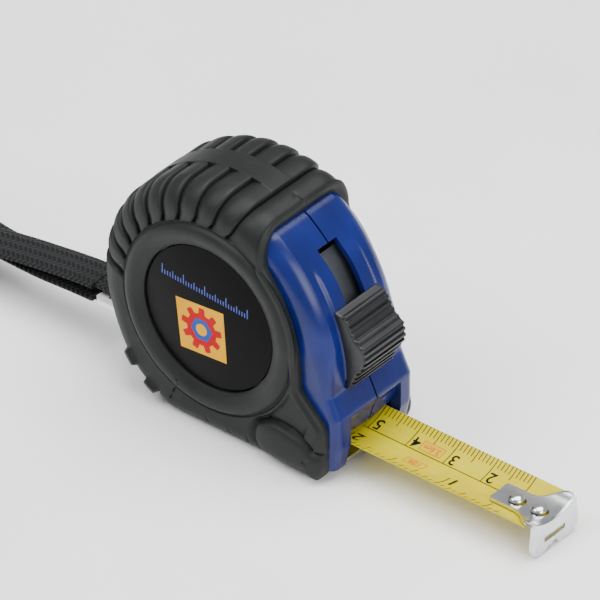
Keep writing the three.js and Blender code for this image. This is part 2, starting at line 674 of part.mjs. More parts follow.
function lockButton() {
  const cap = sideBody(buttonOutline(), -BUTTON_WIDTH / 2, BUTTON_WIDTH / 2);
  const stem = frontBand(STRIP_OUTER + FIT_GAP, FRONT_RADIUS + 1, STEM_LOW, STEM_HIGH, 4);
  return join(cap, sideBody(stem, -SLOT_WIDTH / 2 + FIT_GAP, SLOT_WIDTH / 2 - FIT_GAP));
}

// The strip ends in two prongs that press on the blade beside the hook's tongue.
function lockStrip() {
  const band = sideBody(
    frontBand(STRIP_INNER, STRIP_OUTER, STRIP_LOW, STRIP_HIGH, 14),
    -STRIP_WIDTH / 2,
    STRIP_WIDTH / 2
  );
  const fork = sideBody(frontBand(STRIP_INNER - 1, STRIP_OUTER + 1, STRIP_LOW - 5, STRIP_LOW + 4, 4), -3.7, 3.7);
  return cut(band, fork);
}

// ---- Fasteners, plate, clip and bracket ----
function caseScrew(angle) {
  const [x, z] = screwPlace(angle);
  const headSeat = SHELL_HALF - 2 + FIT_GAP;
  const crossSlot = join(
    box([x - 1.4, x + 1.4], [headSeat + 0.8, FAR], [z - 0.3, z + 0.3]),
    box([x - 0.3, x + 0.3], [headSeat + 0.8, FAR], [z - 1.4, z + 1.4])
  );
  const shank = barY(SCREW_RADIUS, -CAVITY_HALF + 1 + FIT_GAP, headSeat + 1, x, z, 10);
  return cut(join(shank, barY(SCREW_HEAD, headSeat, headSeat + 1.4, x, z, 14)), crossSlot);
}

function clipScrew() {
  const seat = CLIP_FACE + FIT_GAP;
  const crossSlot = join(
    box([-2, 2], [seat + 0.3, FAR], [AXLE_HEIGHT - 0.35, AXLE_HEIGHT + 0.35]),
    box([-0.35, 0.35], [seat + 0.3, FAR], [AXLE_HEIGHT - 2, AXLE_HEIGHT + 2])
  );
  const shank = barY(SPINDLE_RADIUS / 2, SPINDLE_RADIUS + FIT_GAP, seat + 0.2, 0, AXLE_HEIGHT, 16);
  return cut(join(shank, barY(3, seat, seat + 0.8, 0, AXLE_HEIGHT, 18)), crossSlot);
}

function mouthPlate() {
  const top = BLADE_HEIGHT - BLADE_THICK - 1.9;
  return box([18, NOSE_X - 1.5], [-CHANNEL_HALF + FIT_GAP, CHANNEL_HALF - FIT_GAP], [top - PLATE_THICK, top]);
}

// A sprung strip bent back on itself: the inner leg is screwed to the case, the outer leg
// hangs free and turns out at its tip.
function beltClip() {
  const bendZ = AXLE_HEIGHT + 7;
  const legY = CLIP_FACE;
  const outY = legY + BELT_GAP;
  const bend = (radius, from, to) => arc((legY + outY) / 2, bendZ, radius, from, to, 8);
  const section = [
    [legY, AXLE_HEIGHT - 11],
    ...bend(BELT_GAP / 2, 180, 0),
    [outY, AXLE_HEIGHT - 15],
    [outY + 1.6, AXLE_HEIGHT - 19],
    [outY + 1.6 + CLIP_THICK, AXLE_HEIGHT - 18.6],
    [outY + CLIP_THICK, AXLE_HEIGHT - 14.8],
    ...bend(BELT_GAP / 2 + CLIP_THICK, 0, 180),
    [legY - CLIP_THICK, AXLE_HEIGHT - 11],
  ];
  const bent = lengthBody(section, -CLIP_WIDTH / 2, CLIP_WIDTH / 2);
  return cut(bent, barY(SPINDLE_RADIUS / 2 + FIT_GAP, 0, CLIP_FACE + 2, 0, AXLE_HEIGHT, 20));
}

const BRACKET_END = -GRIP_RADIUS - 7.5;

// Flat steel bracket: T-shaped root in the wall, a slot and a bar for the strap.
function lanyardBracket() {
  const half = BRACKET_WIDTH / 2;
  const root = BRACKET_ROOT - 1.2;
  const plan = [
    [BRACKET_ROOT, -half - 2], [BRACKET_ROOT, half + 2], [root, half + 2], [root, half], [BRACKET_END + 1, half],
    [BRACKET_END, half - 1], [BRACKET_END, -half + 1], [BRACKET_END + 1, -half], [root, -half], [root, -half - 2],
  ];
  const plate = planBody(plan, BRACKET_Z - BRACKET_THICK / 2, BRACKET_Z + BRACKET_THICK / 2);
  const slot = [BRACKET_END + BRACKET_BAR, BRACKET_END + BRACKET_BAR + 3];
  return cut(plate, box(slot, [-STRAP_FOLD_WIDTH / 2 - 0.45, STRAP_FOLD_WIDTH / 2 + 0.45], [0, FAR]));
}
// ---- Strap ----
const RUN_UPPER = BRACKET_Z + BRACKET_THICK / 2 + FIT_GAP + STRAP_THICK / 2;
const RUN_LOWER = BRACKET_Z - BRACKET_THICK / 2 - FIT_GAP - STRAP_THICK / 2;
const FOLD_BACK = BRACKET_END - 1.5;

// The fold goes through the bracket's slot and lies above and below its bar.
function strapFold() {
  const front = BRACKET_END + BRACKET_BAR + FIT_GAP + STRAP_THICK;
  const half = STRAP_THICK / 2;
  const outline = [
    [FOLD_BACK, RUN_LOWER - half], [front - 0.6, RUN_LOWER - half], [front, RUN_LOWER], [front, RUN_UPPER],
    [front - 0.6, RUN_UPPER + half], [FOLD_BACK, RUN_UPPER + half], [FOLD_BACK, RUN_UPPER - half],
    [front - STRAP_THICK, RUN_UPPER - half], [front - STRAP_THICK, RUN_LOWER + half], [FOLD_BACK, RUN_LOWER + half],
  ];
  return sideBody(outline, -STRAP_FOLD_WIDTH / 2, STRAP_FOLD_WIDTH / 2);
}

// The strap leaves flat, stands on its edge round the far end of the loop and comes back
// flat under itself.
class StrapCurve extends THREE.CatmullRomCurve3 {
  computeFrenetFrames(segments) {
    const frames = { tangents: [], normals: [], binormals: [] };
    for (let i = 0; i <= segments; i++) {
      const tangent = this.getTangentAt(i / segments);
      const side = tangent.clone().cross(new THREE.Vector3(0, 0, 1)).normalize();
      const rise = side.clone().cross(tangent);
      const lean = Math.PI * THREE.MathUtils.smoothstep(i / segments, 0.12, 0.88);
      const normal = side.multiplyScalar(Math.cos(lean)).addScaledVector(rise, Math.sin(lean));
      frames.tangents.push(tangent);
      frames.normals.push(normal);
      frames.binormals.push(tangent.clone().cross(normal));
    }
    return frames;
  }
}

function strapLoop() {
  const start = FOLD_BACK - FIT_GAP;
  const leaving = [[0, 0, 0], [5.7, 0, 0.4], [14.7, -0.3, 1.3], [24.7, -1, 2.3], [34.7, -2.5, 3.2]];
  const lying = [
    [47.7, -6, 8.7], [61.7, -12, 7], [77.7, -18, 5.7], [93.7, -19.5, 5.2], [107.7, -14, 5.1], [113.7, 0, 5.1],
    [107.7, 14, 5.1], [93.7, 19.5, 5.2], [77.7, 18, 5.4], [61.7, 12, 6], [47.7, 6, 6.8],
  ];
  const returning = [[34.7, 2.5, 2.4], [24.7, 1, 1.5], [14.7, 0, 0.7], [5.7, 0, 0.2], [0, 0, 0]];
  const route = [
    ...leaving.map(([run, y, drop]) => [start - run, y, RUN_UPPER - drop]),
    ...lying.map(([run, y, z]) => [start - run, y, z]),
    ...returning.map(([run, y, drop]) => [start - run, y, RUN_LOWER - drop]),
  ];
  const path = new StrapCurve(route.map((point) => new THREE.Vector3(...point)));
  const [w, t] = [STRAP_WIDTH / 2, STRAP_THICK / 2];
  const section = new THREE.Shape(
    [[w, t / 2], [w - 0.4, t], [0.4 - w, t], [-w, t / 2], [-w, -t / 2], [0.4 - w, -t], [w - 0.4, -t], [w, -t / 2]].map(
      ([a, b]) => new THREE.Vector2(a, b)
    )
  );
  return solid(new THREE.ExtrudeGeometry(section, { steps: 40, extrudePath: path, bevelEnabled: false }));
}

// ---- Assembly ----
const group = new THREE.Group();

function add(name, body, finish) {
  const mesh = new THREE.Mesh(geometryOf(body), material(...FINISH[finish]));
  mesh.name = name;
  group.add(mesh);
}

const wholeShell = shell();
const wholeGrip = grip();
add("right_shell", wholeShell.intersect(rightHalf()), "blue");
add("left_shell", wholeShell.intersect(leftHalf()), "blue");
add("right_grip", wholeGrip.intersect(rightHalf()), "rubber");
add("left_grip", wholeGrip.intersect(leftHalf()), "rubber");
add("right_label", rightLabel(), "label");
add("left_label", leftLabel(), "label");
add("mouth_plate", mouthPlate(), "steel");
add("spindle", spindle(), "reel");
for (const [place, angle] of Object.entries(SCREW_ANGLES)) add(`case_screw_${place}`, caseScrew(angle), "screw");
add("belt_clip", beltClip(), "steel");
add("clip_screw", clipScrew(), "screw");
add("lanyard_bracket", lanyardBracket(), "steel");
add("strap_fold", strapFold(), "strap");
add("strap_loop", strapLoop(), "strap");
add("left_slip_disc", slipDisc(), "slip");
add("right_slip_disc", mirrorY(slipDisc()), "slip");
add("reel_drum", reelDrum(), "reel");
add("drum_cover", drumCover(), "reel");
add("power_spring", powerSpring(), "spring");
add("tape_coil", tapeCoil(), "blade");
add("lock_button", lockButton(), "black");
add("lock_strip", lockStrip(), "black");
add("tape_blade", tapeBlade(), "blade");
add("tape_tail", tapeTail(), "blade");
RIVET_PLACES.forEach((x, i) => add(["rivet_rear", "rivet_front"][i], rivet(x), "steel"));
add("end_hook", endHook(), "steel");

export default group;
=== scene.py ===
# %% [markdown]
# # A pocket tape measure
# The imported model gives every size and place. This script builds the surfaces that the eye
# sees around it: rubber grips, a glossy shell, a printed steel blade, a braided strap. All
# lengths below are in millimetres and become metres in one place, where a mesh is made.

# %% Load the frame
import bpy
import math
import numpy as np
from mathutils import Matrix, Vector


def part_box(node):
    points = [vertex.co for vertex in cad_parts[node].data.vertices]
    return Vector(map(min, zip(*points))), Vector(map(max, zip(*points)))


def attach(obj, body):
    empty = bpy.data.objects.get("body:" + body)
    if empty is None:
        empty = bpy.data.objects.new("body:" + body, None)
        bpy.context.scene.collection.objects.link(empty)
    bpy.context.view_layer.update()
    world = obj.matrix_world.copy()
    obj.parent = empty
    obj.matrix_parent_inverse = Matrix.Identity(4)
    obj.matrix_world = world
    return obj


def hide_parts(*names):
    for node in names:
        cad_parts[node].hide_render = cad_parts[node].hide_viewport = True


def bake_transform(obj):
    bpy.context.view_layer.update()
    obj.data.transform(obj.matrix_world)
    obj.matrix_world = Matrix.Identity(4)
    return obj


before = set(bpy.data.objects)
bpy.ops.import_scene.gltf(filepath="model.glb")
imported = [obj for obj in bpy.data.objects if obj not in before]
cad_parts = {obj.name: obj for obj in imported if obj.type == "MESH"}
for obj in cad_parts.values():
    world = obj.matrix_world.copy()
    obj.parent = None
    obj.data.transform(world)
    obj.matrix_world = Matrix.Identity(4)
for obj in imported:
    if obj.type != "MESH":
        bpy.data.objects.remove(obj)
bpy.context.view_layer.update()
MM = 0.001


def spans(node):
    """Lowest and highest corner of a CAD node, in millimetres."""
    low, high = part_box(node)
    return np.array(low) / MM, np.array(high) / MM


# %% [markdown]
# The reel's axis is the centre of almost every curve on the case, and the blade, label and
# rim are measured from it. It is read from the drum, and the sole is the plane z = 0.

# %% Sizes read from the frame
drum_low, drum_high = spans("reel_drum")
AXLE = (drum_low[2] + drum_high[2]) / 2
grip_low, grip_high = spans("right_grip")
RIM = -grip_low[0]
label_low, label_high = spans("right_label")
LABEL_R = (label_high[0] - label_low[0]) / 2
LABEL_Y = -label_low[1]
shell_low, shell_high = spans("right_shell")
NOSE = shell_high[0]
SHELL_SIDE = -shell_low[1]
RING_HIGH = 1.0
SIDE_Y = -grip_low[1] - RING_HIGH
PART_RIGHT = grip_high[1]
PART_LEFT = spans("left_grip")[0][1]
print("axle", AXLE, "rim", RIM, "nose", NOSE, "side", SIDE_Y, "label", LABEL_R, LABEL_Y)

# %% [markdown]
# The camera looks from the front right, from far away through a long lens, so parallel
# edges stay almost parallel. It comes first because the strap's layout is judged by it.

# %% Camera
AZIMUTH, ELEVATION = math.radians(39.3), math.radians(35.4)
DISTANCE = 2392.0
SCALE_AT_OBJECT = 4.78
right_way = np.array([math.cos(AZIMUTH), math.sin(AZIMUTH), 0])
up_way = np.array(
    [-math.sin(AZIMUTH) * math.sin(ELEVATION), math.cos(AZIMUTH) * math.sin(ELEVATION), math.cos(ELEVATION)]
)
back_way = np.cross(right_way, up_way)
target = np.array([0, 0, AXLE]) + 10.06 * right_way - 2.55 * up_way
place = target + DISTANCE * back_way
camera_data = bpy.data.cameras.new("camera")
camera_data.sensor_width = 36
camera_data.lens = camera_data.sensor_width * SCALE_AT_OBJECT * DISTANCE / 600
camera_data.clip_start, camera_data.clip_end = 0.1, 20
camera = bpy.data.objects.new("camera", camera_data)
bpy.context.scene.collection.objects.link(camera)
camera.matrix_world = Matrix(
    [list(row) for row in np.vstack([np.column_stack([right_way, up_way, back_way, place * MM]), [0, 0, 0, 1]])]
)
bpy.context.scene.camera = camera


# %% [markdown]
# A mesh is made from whole arrays: a list of points and a list of faces. Helpers turn a grid
# of points into quads, so every surface below is only a formula for its grid.

# %% Mesh helpers
def quads(rows, cols, wrap=False):
    """Corner numbers of the quads of a grid; wrap joins the last column to the first."""
    r = np.arange(rows - 1)[:, None]
    c = np.arange(cols if wrap else cols - 1)[None, :]
    n = (c + 1) % cols
    corners = [r * cols + c, r * cols + n, (r + 1) * cols + n, (r + 1) * cols + c]
    return np.stack(corners, axis=-1).reshape(-1, 4)


def make_mesh(name, points, faces):
    """A mesh object from points in millimetres and a list or array of faces."""
    mesh = bpy.data.meshes.new(name)
    points = np.asarray(points, float).reshape(-1, 3) * MM
    faces = [list(map(int, f)) for f in faces]
    mesh.from_pydata(points.tolist(), [], faces)
    mesh.update()
    piece = bpy.data.objects.new(name, mesh)
    bpy.context.scene.collection.objects.link(piece)
    return piece


def smooth(piece, angle):
    """Smooth shading, except at edges sharper than the angle in degrees."""
    piece.data.shade_smooth()
    piece.data.set_sharp_from_angle(angle=math.radians(angle))


def drop_loose(points, faces):
    """Keeps only the points that some face uses, and renumbers the faces."""
    used = np.unique(faces)
    number = np.full(len(points), -1)
    number[used] = np.arange(len(used))
    return points[used], number[faces]


def apply_modifiers(piece):
    """Bakes a piece's modifiers into its mesh, so that its normals can be set afterwards."""
    graph = bpy.context.evaluated_depsgraph_get()
    graph.update()
    mesh = bpy.data.meshes.new_from_object(piece.evaluated_get(graph), depsgraph=graph)
    old = piece.data
    piece.modifiers.clear()
    piece.data = mesh
    mesh.name = old.name
    bpy.data.meshes.remove(old)


def modifier(piece, kind, **settings):
    """Adds a modifier and sets each named value on it."""
    added = piece.modifiers.new(kind.lower(), kind)
    for key, value in settings.items():
        setattr(added, key, value)


def ease(value, low, high):
    """0 below low, 1 above high, and a smooth S between them."""
    t = np.clip((np.asarray(value, float) - low) / (high - low), 0, 1)
    return t * t * (3 - 2 * t)


def finish_piece(piece, body, slot_name, material, *nodes):
    """Gives a piece its finish and the body it moves with, and hides the CAD nodes it stands for. slot_name is
    not used.
    """
    piece.data.materials.clear()
    piece.data.materials.append(material)
    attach(piece, body)
    if nodes:
        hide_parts(*nodes)


# %% [markdown]
# A material is a small network of nodes around one surface shader. One function adds a
# node, sets it and links it, so each material below reads as a list of its ingredients.

# %% Material helpers
def linear(code):
    """An sRGB hex colour as the linear values that shaders use."""
    value = np.array([int(code[i:i + 2], 16) for i in (0, 2, 4)]) / 255
    value = np.where(value <= 0.04045, value / 12.92, ((value + 0.055) / 1.055) ** 2.4)
    return (*value.tolist(), 1.0)


def node(tree, kind, settings=None, **inputs):
    """Adds a node. Settings go on the node; inputs go on its sockets, by name or as i0, i1 by
    number, and each is a plain value or another node's socket to link."""
    added = tree.nodes.new("ShaderNode" + kind)
    for key, value in (settings or {}).items():
        setattr(added, key, value)
    for key, value in inputs.items():
        numbered = key[0] == "i" and key[1:].isdigit()
        socket = added.inputs[int(key[1:]) if numbered else key.replace("_", " ")]
        if isinstance(value, bpy.types.NodeSocket):
            tree.links.new(value, socket)
        else:
            socket.default_value = value
    return added


def new_material(name, **shader):
    """A material with one Principled shader, and its fixed values on the shader's sockets."""
    material = bpy.data.materials.new(name)
    material.use_nodes = True
    tree = material.node_tree
    surface = tree.nodes["Principled BSDF"]
    for key, value in shader.items():
        surface.inputs[key.replace("_", " ")].default_value = value
    return material, tree, surface


def ramp(tree, factor, stops):
    """A colour ramp from (position, colour) stops."""
    added = node(tree, "ValToRGB", Fac=factor)
    elements = added.color_ramp.elements
    while len(elements) < len(stops):
        elements.new(0.5)
    for element, (position, colour) in zip(elements, stops):
        element.position = position
        element.color = colour
    return added.outputs["Color"]


def level(tree, factor, low, high):
    """Maps a 0..1 pattern to a range of plain values."""
    return node(tree, "MapRange", Value=factor, To_Min=low, To_Max=high).outputs["Result"]


def bump(tree, surface, height, strength, distance_mm):
    """Relief from a height pattern: distance_mm is how far full height stands out."""
    shaped = node(tree, "Bump", Strength=strength, Distance=distance_mm * MM, Height=height)
    tree.links.new(shaped.outputs["Normal"], surface.inputs["Normal"])


def noise(tree, size_mm, detail):
    """Cloudy noise whose features are about size_mm across, fixed to the object."""
    place = node(tree, "TexCoord").outputs["Object"]
    return node(tree, "TexNoise", Vector=place, Scale=1 / (size_mm * MM), Detail=detail).outputs["Fac"]


# %% [markdown]
# ## The wrist strap
# The strap is a flat braid of black nylon, about 9.5 mm wide and 1.4 mm thick. It leaves the
# bracket flat, stands on its edge round the far end of its loop, and comes back flat under
# itself. It is a section carried along a smooth route, and its weave is drawn from its own
# UV map, whose units are millimetres along and across.

# %% Strap route
STRAP_WIDTH, STRAP_THICK = 9.5, 1.4
ROUTE = np.array([
    [-40.3, 0, 13.4], [-46, 0, 13], [-55, -0.3, 12.1], [-65, -1, 11.1], [-75, -2.5, 10.2], [-88, -6, 8.7],
    [-102, -12, 7], [-118, -18, 5.7], [-134, -19.5, 5.2], [-148, -14, 5.1], [-154, 0, 5.1], [-148, 14, 5.1],
    [-134, 19.5, 5.2], [-118, 18, 5.4], [-102, 12, 6], [-88, 6, 6.8], [-75, 2.5, 7.8], [-65, 1, 8.7],
    [-55, 0, 9.5], [-46, 0, 10], [-40.3, 0, 10.2],
])


def distances(line):
    """Distance along a line from its start to each of its points."""
    return np.concatenate([[0], np.cumsum(np.linalg.norm(np.diff(line, axis=0), axis=1))])


def smooth_route(points, steps):
    """Points at equal distances along a centripetal Catmull-Rom curve: between two route points
    the curve is a cubic whose end directions look at the points on either side, with knots
    spaced by the square root of the distance."""
    ends = np.vstack([2 * points[0] - points[1], points, 2 * points[-1] - points[-2]])
    knots = np.sqrt(np.linalg.norm(np.diff(ends, axis=0), axis=1))
    t = np.linspace(0, 1, 60, endpoint=False)[:, None]
    curve = []
    for k in range(len(points) - 1):
        p0, p1, p2, p3 = ends[k:k + 4]
        a, b, c = knots[k:k + 3]
        m1 = ((p1 - p0) / a - (p2 - p0) / (a + b) + (p2 - p1) / b) * b
        m2 = ((p2 - p1) / b - (p3 - p1) / (b + c) + (p3 - p2) / c) * b
        curve.append(
            (2 * t**3 - 3 * t**2 + 1) * p1 + (t**3 - 2 * t**2 + t) * m1
            + (3 * t**2 - 2 * t**3) * p2 + (t**3 - t**2) * m2
        )
    curve = np.vstack(curve + [points[-1:]])
    along = distances(curve)
    where = np.linspace(0, along[-1], steps)
    return np.column_stack([np.interp(where, along, curve[:, k]) for k in range(3)]), along[-1]


strap_path, strap_length = smooth_route(ROUTE, 400)
print("strap length", round(strap_length, 1), "mm")


# %% [markdown]
# The strap and its fold share one section: flat, with rounded edges. Its outline is the
# cosine and sine of a full turn, each raised to a power below one, which fills the corners.

# %% Strap braid
def unit(rows):
    """Each row scaled to length one."""
    return rows / np.linalg.norm(rows, axis=1)[:, None]


def flat_section(count):
    """Width and height of the section's points, both from -1 to 1."""
    turn = np.linspace(0, 2 * math.pi, count, endpoint=False)
    across = np.sign(np.cos(turn)) * np.abs(np.cos(turn)) ** 0.75
    height = np.sign(np.sin(turn)) * np.abs(np.sin(turn)) ** 0.6
    return across, height


def lay_uv(piece, flat):
    """Gives each face corner the flat place of its point, in millimetres, as its UV."""
    uv = piece.data.uv_layers.new(name="UVMap")
    corners = np.empty(len(piece.data.loops), dtype=np.int32)
    piece.data.loops.foreach_get("vertex_index", corners)
    uv.data.foreach_set("uv", flat[corners].ravel())


def braid(path, length):
    """The section carried along the path: its width direction turns half a turn from level,
    through upright, to level again, and its surface swells over each of seven cords that
    run side by side."""
    tangent = unit(np.gradient(path, axis=0))
    side = unit(np.cross(tangent, [0, 0, 1]))
    rise = np.cross(side, tangent)
    u = np.linspace(0, 1, len(path))
    lean = (math.pi * ease(u, 0.12, 0.88))[:, None]
    wide = side * np.cos(lean) + rise * np.sin(lean)
    deep = np.cross(tangent, wide)
    across, height = flat_section(64)
    swell = 0.88 + 0.12 * np.abs(np.cos(across * 3.5 * math.pi))
    half_w, half_t = STRAP_WIDTH / 2, STRAP_THICK / 2
    grid = (
        path[:, None, :]
        + wide[:, None, :] * (across * half_w)[None, :, None]
        + deep[:, None, :] * (height * swell * half_t)[None, :, None]
    )
    rows, cols = grid.shape[:2]
    faces = [list(f) for f in quads(rows, cols, wrap=True)]
    faces += [list(range(cols - 1, -1, -1)), [(rows - 1) * cols + k for k in range(cols)]]
    piece = make_mesh("strap_braid_loop", grid, faces)
    lay_uv(piece, np.column_stack([np.repeat(u * length, cols), np.tile(across * half_w, rows)]))
    return piece


strap_loop = braid(strap_path, strap_length)
smooth(strap_loop, 60)
print(strap_loop.name, len(strap_loop.data.polygons), "faces")

# %% [markdown]
# Where the strap passes through the bracket it is doubled round a thin bar. The fold is
# the same braid, pinched narrower by the slot: a section carried round a U.

# %% Strap fold
fold_low, fold_high = spans("strap_fold")
run_low, run_high = fold_low[2] + STRAP_THICK / 2, fold_high[2] - STRAP_THICK / 2


def fold_path():
    """A straight run in, a half circle round the bar, and a straight run back."""
    radius = (run_high - run_low) / 2
    bend_x = fold_high[0] - STRAP_THICK / 2 - radius
    middle = (run_high + run_low) / 2
    angle = np.linspace(math.pi / 2, -math.pi / 2, 14)
    bend = np.column_stack([bend_x + radius * np.cos(angle), middle + radius * np.sin(angle)])
    start = np.column_stack([np.linspace(fold_low[0], bend_x, 8)[:-1], np.full(7, run_high)])
    return np.vstack([start, bend, start[::-1] * [1, 0] + [0, run_low]])


def fold_mesh():
    """The section carried along the U, with its width along Y."""
    line = fold_path()
    tangent = unit(np.gradient(line, axis=0))
    across, height = flat_section(48)
    across = across * (fold_high[1] - fold_low[1]) / 2
    height = height * STRAP_THICK / 2
    x = line[:, 0, None] - tangent[:, 1, None] * height
    z = line[:, 1, None] + tangent[:, 0, None] * height
    grid = np.stack([x, np.broadcast_to(across, x.shape), z], axis=-1)
    rows, cols = x.shape
    faces = [list(f) for f in quads(rows, cols, wrap=True)[:, ::-1]]
    faces += [list(range(cols)), [(rows - 1) * cols + k for k in range(cols)][::-1]]
    piece = make_mesh("strap_braid_fold", grid, faces)
    lay_uv(piece, np.column_stack([np.repeat(distances(line), cols), np.tile(across * 1.25, rows)]))
    return piece


strap_fold = fold_mesh()
smooth(strap_fold, 60)
print(strap_fold.name, len(strap_fold.data.polygons), "faces")

# %% [markdown]
# The strap is dull black nylon. Its yarns lie in a herringbone: a slanting sine wave whose
# slant turns back and forth across the width, so it reads the strap's own UV map. The
# yarns are a good millimetre apart, a little coarser than real ones, so that they show.

# %% Strap material
def braided_nylon():
    """Braided nylon yarn: a herringbone relief under a fine fuzz, which keeps it dull. Its colour is painted
    shade in the troughs between the yarns and painted light on their crests.
    """
    material, tree, surface = new_material(
        "braided_nylon", Roughness=0.62, Sheen_Weight=0.06, Sheen_Roughness=0.4, IOR=1.53,
        Specular_IOR_Level=0.2,
    )
    yarn_apart, band_wide = 1.3, 1.36
    flat = node(tree, "UVMap", {"uv_map": "UVMap"}).outputs["UV"]
    parts = node(tree, "SeparateXYZ", Vector=flat)
    across = node(tree, "Math", {"operation": "PINGPONG"}, i0=parts.outputs["Y"], i1=band_wide)
    slope = node(
        tree, "Math", {"operation": "MULTIPLY_ADD"}, i0=across.outputs[0], i1=0.9, i2=parts.outputs["X"]
    )
    turns = node(tree, "Math", {"operation": "MULTIPLY"}, i0=slope.outputs[0], i1=2 * math.pi / yarn_apart)
    wave = node(tree, "Math", {"operation": "SINE"}, i0=turns.outputs[0])
    yarn = node(tree, "MapRange", Value=wave.outputs[0], From_Min=-1.0, From_Max=1.0)
    fuzz = noise(tree, 0.25, 4)
    both = node(tree, "Math", {"operation": "MULTIPLY_ADD"}, i0=fuzz, i1=0.25, i2=yarn.outputs["Result"])
    # Painted shade and light: the colour is darkest in the troughs between the yarns and lightest on their
    # crests.
    shades = [(0.0, linear("050506")), (0.55, linear("0f1011")), (1.0, linear("1f2123"))]
    colour = ramp(tree, yarn.outputs["Result"], shades)
    tree.links.new(colour, surface.inputs["Base Color"])
    bump(tree, surface, both.outputs[0], 0.9, 0.35)
    return material


nylon = braided_nylon()
finish_piece(strap_fold, "case", "strap_braid", nylon, "strap_fold")
finish_piece(strap_loop, "case", "strap_braid", nylon, "strap_loop")

# %% [markdown]
# ## The rubber grips
# Each half of the case wears a moulded rubber cover: a raised ring round the label, a flat
# side, and a thick rounded rim with overlapping pads, like shingles. A pad starts low
# behind the pad in front of it, rises to full height and drops at a sharp line. The cover
# is worked out as a grid whose columns follow those lines, so the lines stay sharp.

# %% Lines in side view
STEP = 0.05


def dense(corners):
    """Points every STEP along a broken line."""
    corners = np.asarray(corners, float)
    along = distances(corners)
    where = np.arange(0, along[-1], STEP)
    return np.column_stack([np.interp(where, along, corners[:, k]) for k in range(2)])


def soften(line, reach):
    """Rounds the corners of a dense line: each point becomes a weighted mean of its
    neighbours within reach."""
    n = int(reach / STEP)
    weights = np.hanning(2 * n + 3)[1:-1]
    weights = weights / weights.sum()
    padded = np.concatenate([2 * line[0] - line[n:0:-1], line, 2 * line[-1] - line[-2:-n - 2:-1]])
    return np.column_stack([np.convolve(padded[:, k], weights, "valid") for k in range(2)])


def bow(cx, cz, radius, start, stop, count=60):
    """Points on an arc from start to stop degrees."""
    angle = np.radians(np.linspace(start, stop, count))
    return np.column_stack([cx + radius * np.cos(angle), cz + radius * np.sin(angle)])


def outward(line, turn=1):
    """Unit normals of a line in its own plane, to the right of its direction for turn 1."""
    way = unit(np.gradient(line, axis=0))
    return np.column_stack([way[:, 1], -way[:, 0]]) * turn


print("a line's points are", STEP, "mm apart")

# %% [markdown]
# Two lines shape the cover in side view. The crown line runs round the back from above the
# brow to the toe; the border line, from the brow down to the toe, is where the bare shell
# begins. Both are lists of arcs and corners, softened.

# %% Rubber outline and front border
TOE_X = grip_high[0]
TOE = 4.5
EDGE, SOLE_EDGE = 6.4, 4.0
LIP = 1.0
BROW = NOSE - 19.5
FRONT_X, FRONT_Z, FRONT_R = -7.7, -6.5, 38.7
SIDE_BAND = 7.4
band_x = FRONT_X - SIDE_BAND
low_point = bow(band_x, FRONT_Z, FRONT_R, -2.5, -2.5, 1)[0]
top_angle = math.degrees(math.acos((BROW - band_x) / FRONT_R))
sole_angle = 180 + math.degrees(math.asin(AXLE / RIM))
crown_line = soften(dense(np.vstack([
    bow(0, 0, RIM, 50, sole_angle, 300), [[TOE_X - TOE, -AXLE]],
    bow(TOE_X - TOE, TOE - AXLE, TOE, -90, 0), [[TOE_X, TOE - AXLE + 6]],
])), 1.2)
crown_turn = np.degrees(np.unwrap(np.arctan2(crown_line[:, 1], crown_line[:, 0])))
crown_normal = outward(crown_line)
toe_end = 360 + math.degrees(math.atan2(1.3 - AXLE, TOE_X - 1.3))
border_line = soften(dense(np.vstack([
    [[BROW, RIM]], bow(band_x, FRONT_Z, FRONT_R, top_angle, -2.5),
    [[TOE_X, low_point[1] - (TOE_X - low_point[0])]],
    bow(TOE_X - TOE, TOE - AXLE, TOE, 0, -60),
])), 2.6)
border_normal = outward(border_line, -1)
print("brow at", BROW, "sole from", sole_angle, "toe to", toe_end)


def crown_at(turn, inset):
    """Point and normal of the outline at an angle about the axle, moved in by inset."""
    xz = [np.interp(turn, crown_turn, crown_line[:, k]) for k in range(2)]
    n = [np.interp(turn, crown_turn, crown_normal[:, k]) for k in range(2)]
    size = np.hypot(*n)
    n = [n[0] / size, n[1] / size]
    return xz[0] - inset * n[0], xz[1] - inset * n[1], n[0], n[1]


# %% [markdown]
# The pads are 11.1 degrees apart round the axle. Columns crowd together at each line, where
# the height falls from the shoulder of one pad to the low start of the next.

# %% Pads
PITCH, GROOVES, FIRST = 11.1, 10, 73.9
PAD_AT = np.array([0, 0.035, 0.075, 0.14, 0.22, 0.3, 0.4, 0.52, 0.66, 0.8, 0.88, 0.93, 0.965, 0.985])
PAD_HIGH = np.array([-1.3, -1.0, -0.9, -0.72, -0.5, -0.3, -0.12, -0.03, 0, 0, -0.03, -0.1, -0.25, -0.6])
brow_turn = math.degrees(math.acos((BROW - LIP) / RIM))
groove_turn = FIRST + PITCH * np.arange(GROOVES)
in_front = np.unique(np.concatenate([FIRST - PITCH * PAD_AT[:9], [brow_turn]]))
between = np.concatenate([groove - PITCH * PAD_AT[::-1] for groove in groove_turn[1:]])
behind = groove_turn[-1] + PITCH * np.array([0.015, 0.035, 0.07, 0.12, 0.25, 0.45, 0.75])
back = np.concatenate([np.arange(184, 214, 2.0), np.arange(215, 249, 0.5)])
RIB_X = np.array([-0.4, 5.4, 10.5])
near_ribs = (RIB_X[:, None] + [-0.7, -0.3, -0.15, 0, 0.15, 0.3, 0.7]).ravel()
sole_x = np.unique(np.round(np.concatenate([np.arange(-10, 27.5, 0.7), near_ribs]), 3))
sole = 360 + np.degrees(np.arctan2(-AXLE, sole_x))
toe = np.linspace(sole[-1], toe_end, 12)[1:]
turns = np.concatenate([in_front[in_front >= brow_turn], between, behind, back, sole, toe])
turns = np.unique(np.round(turns, 4))
print("columns behind the brow", len(turns))


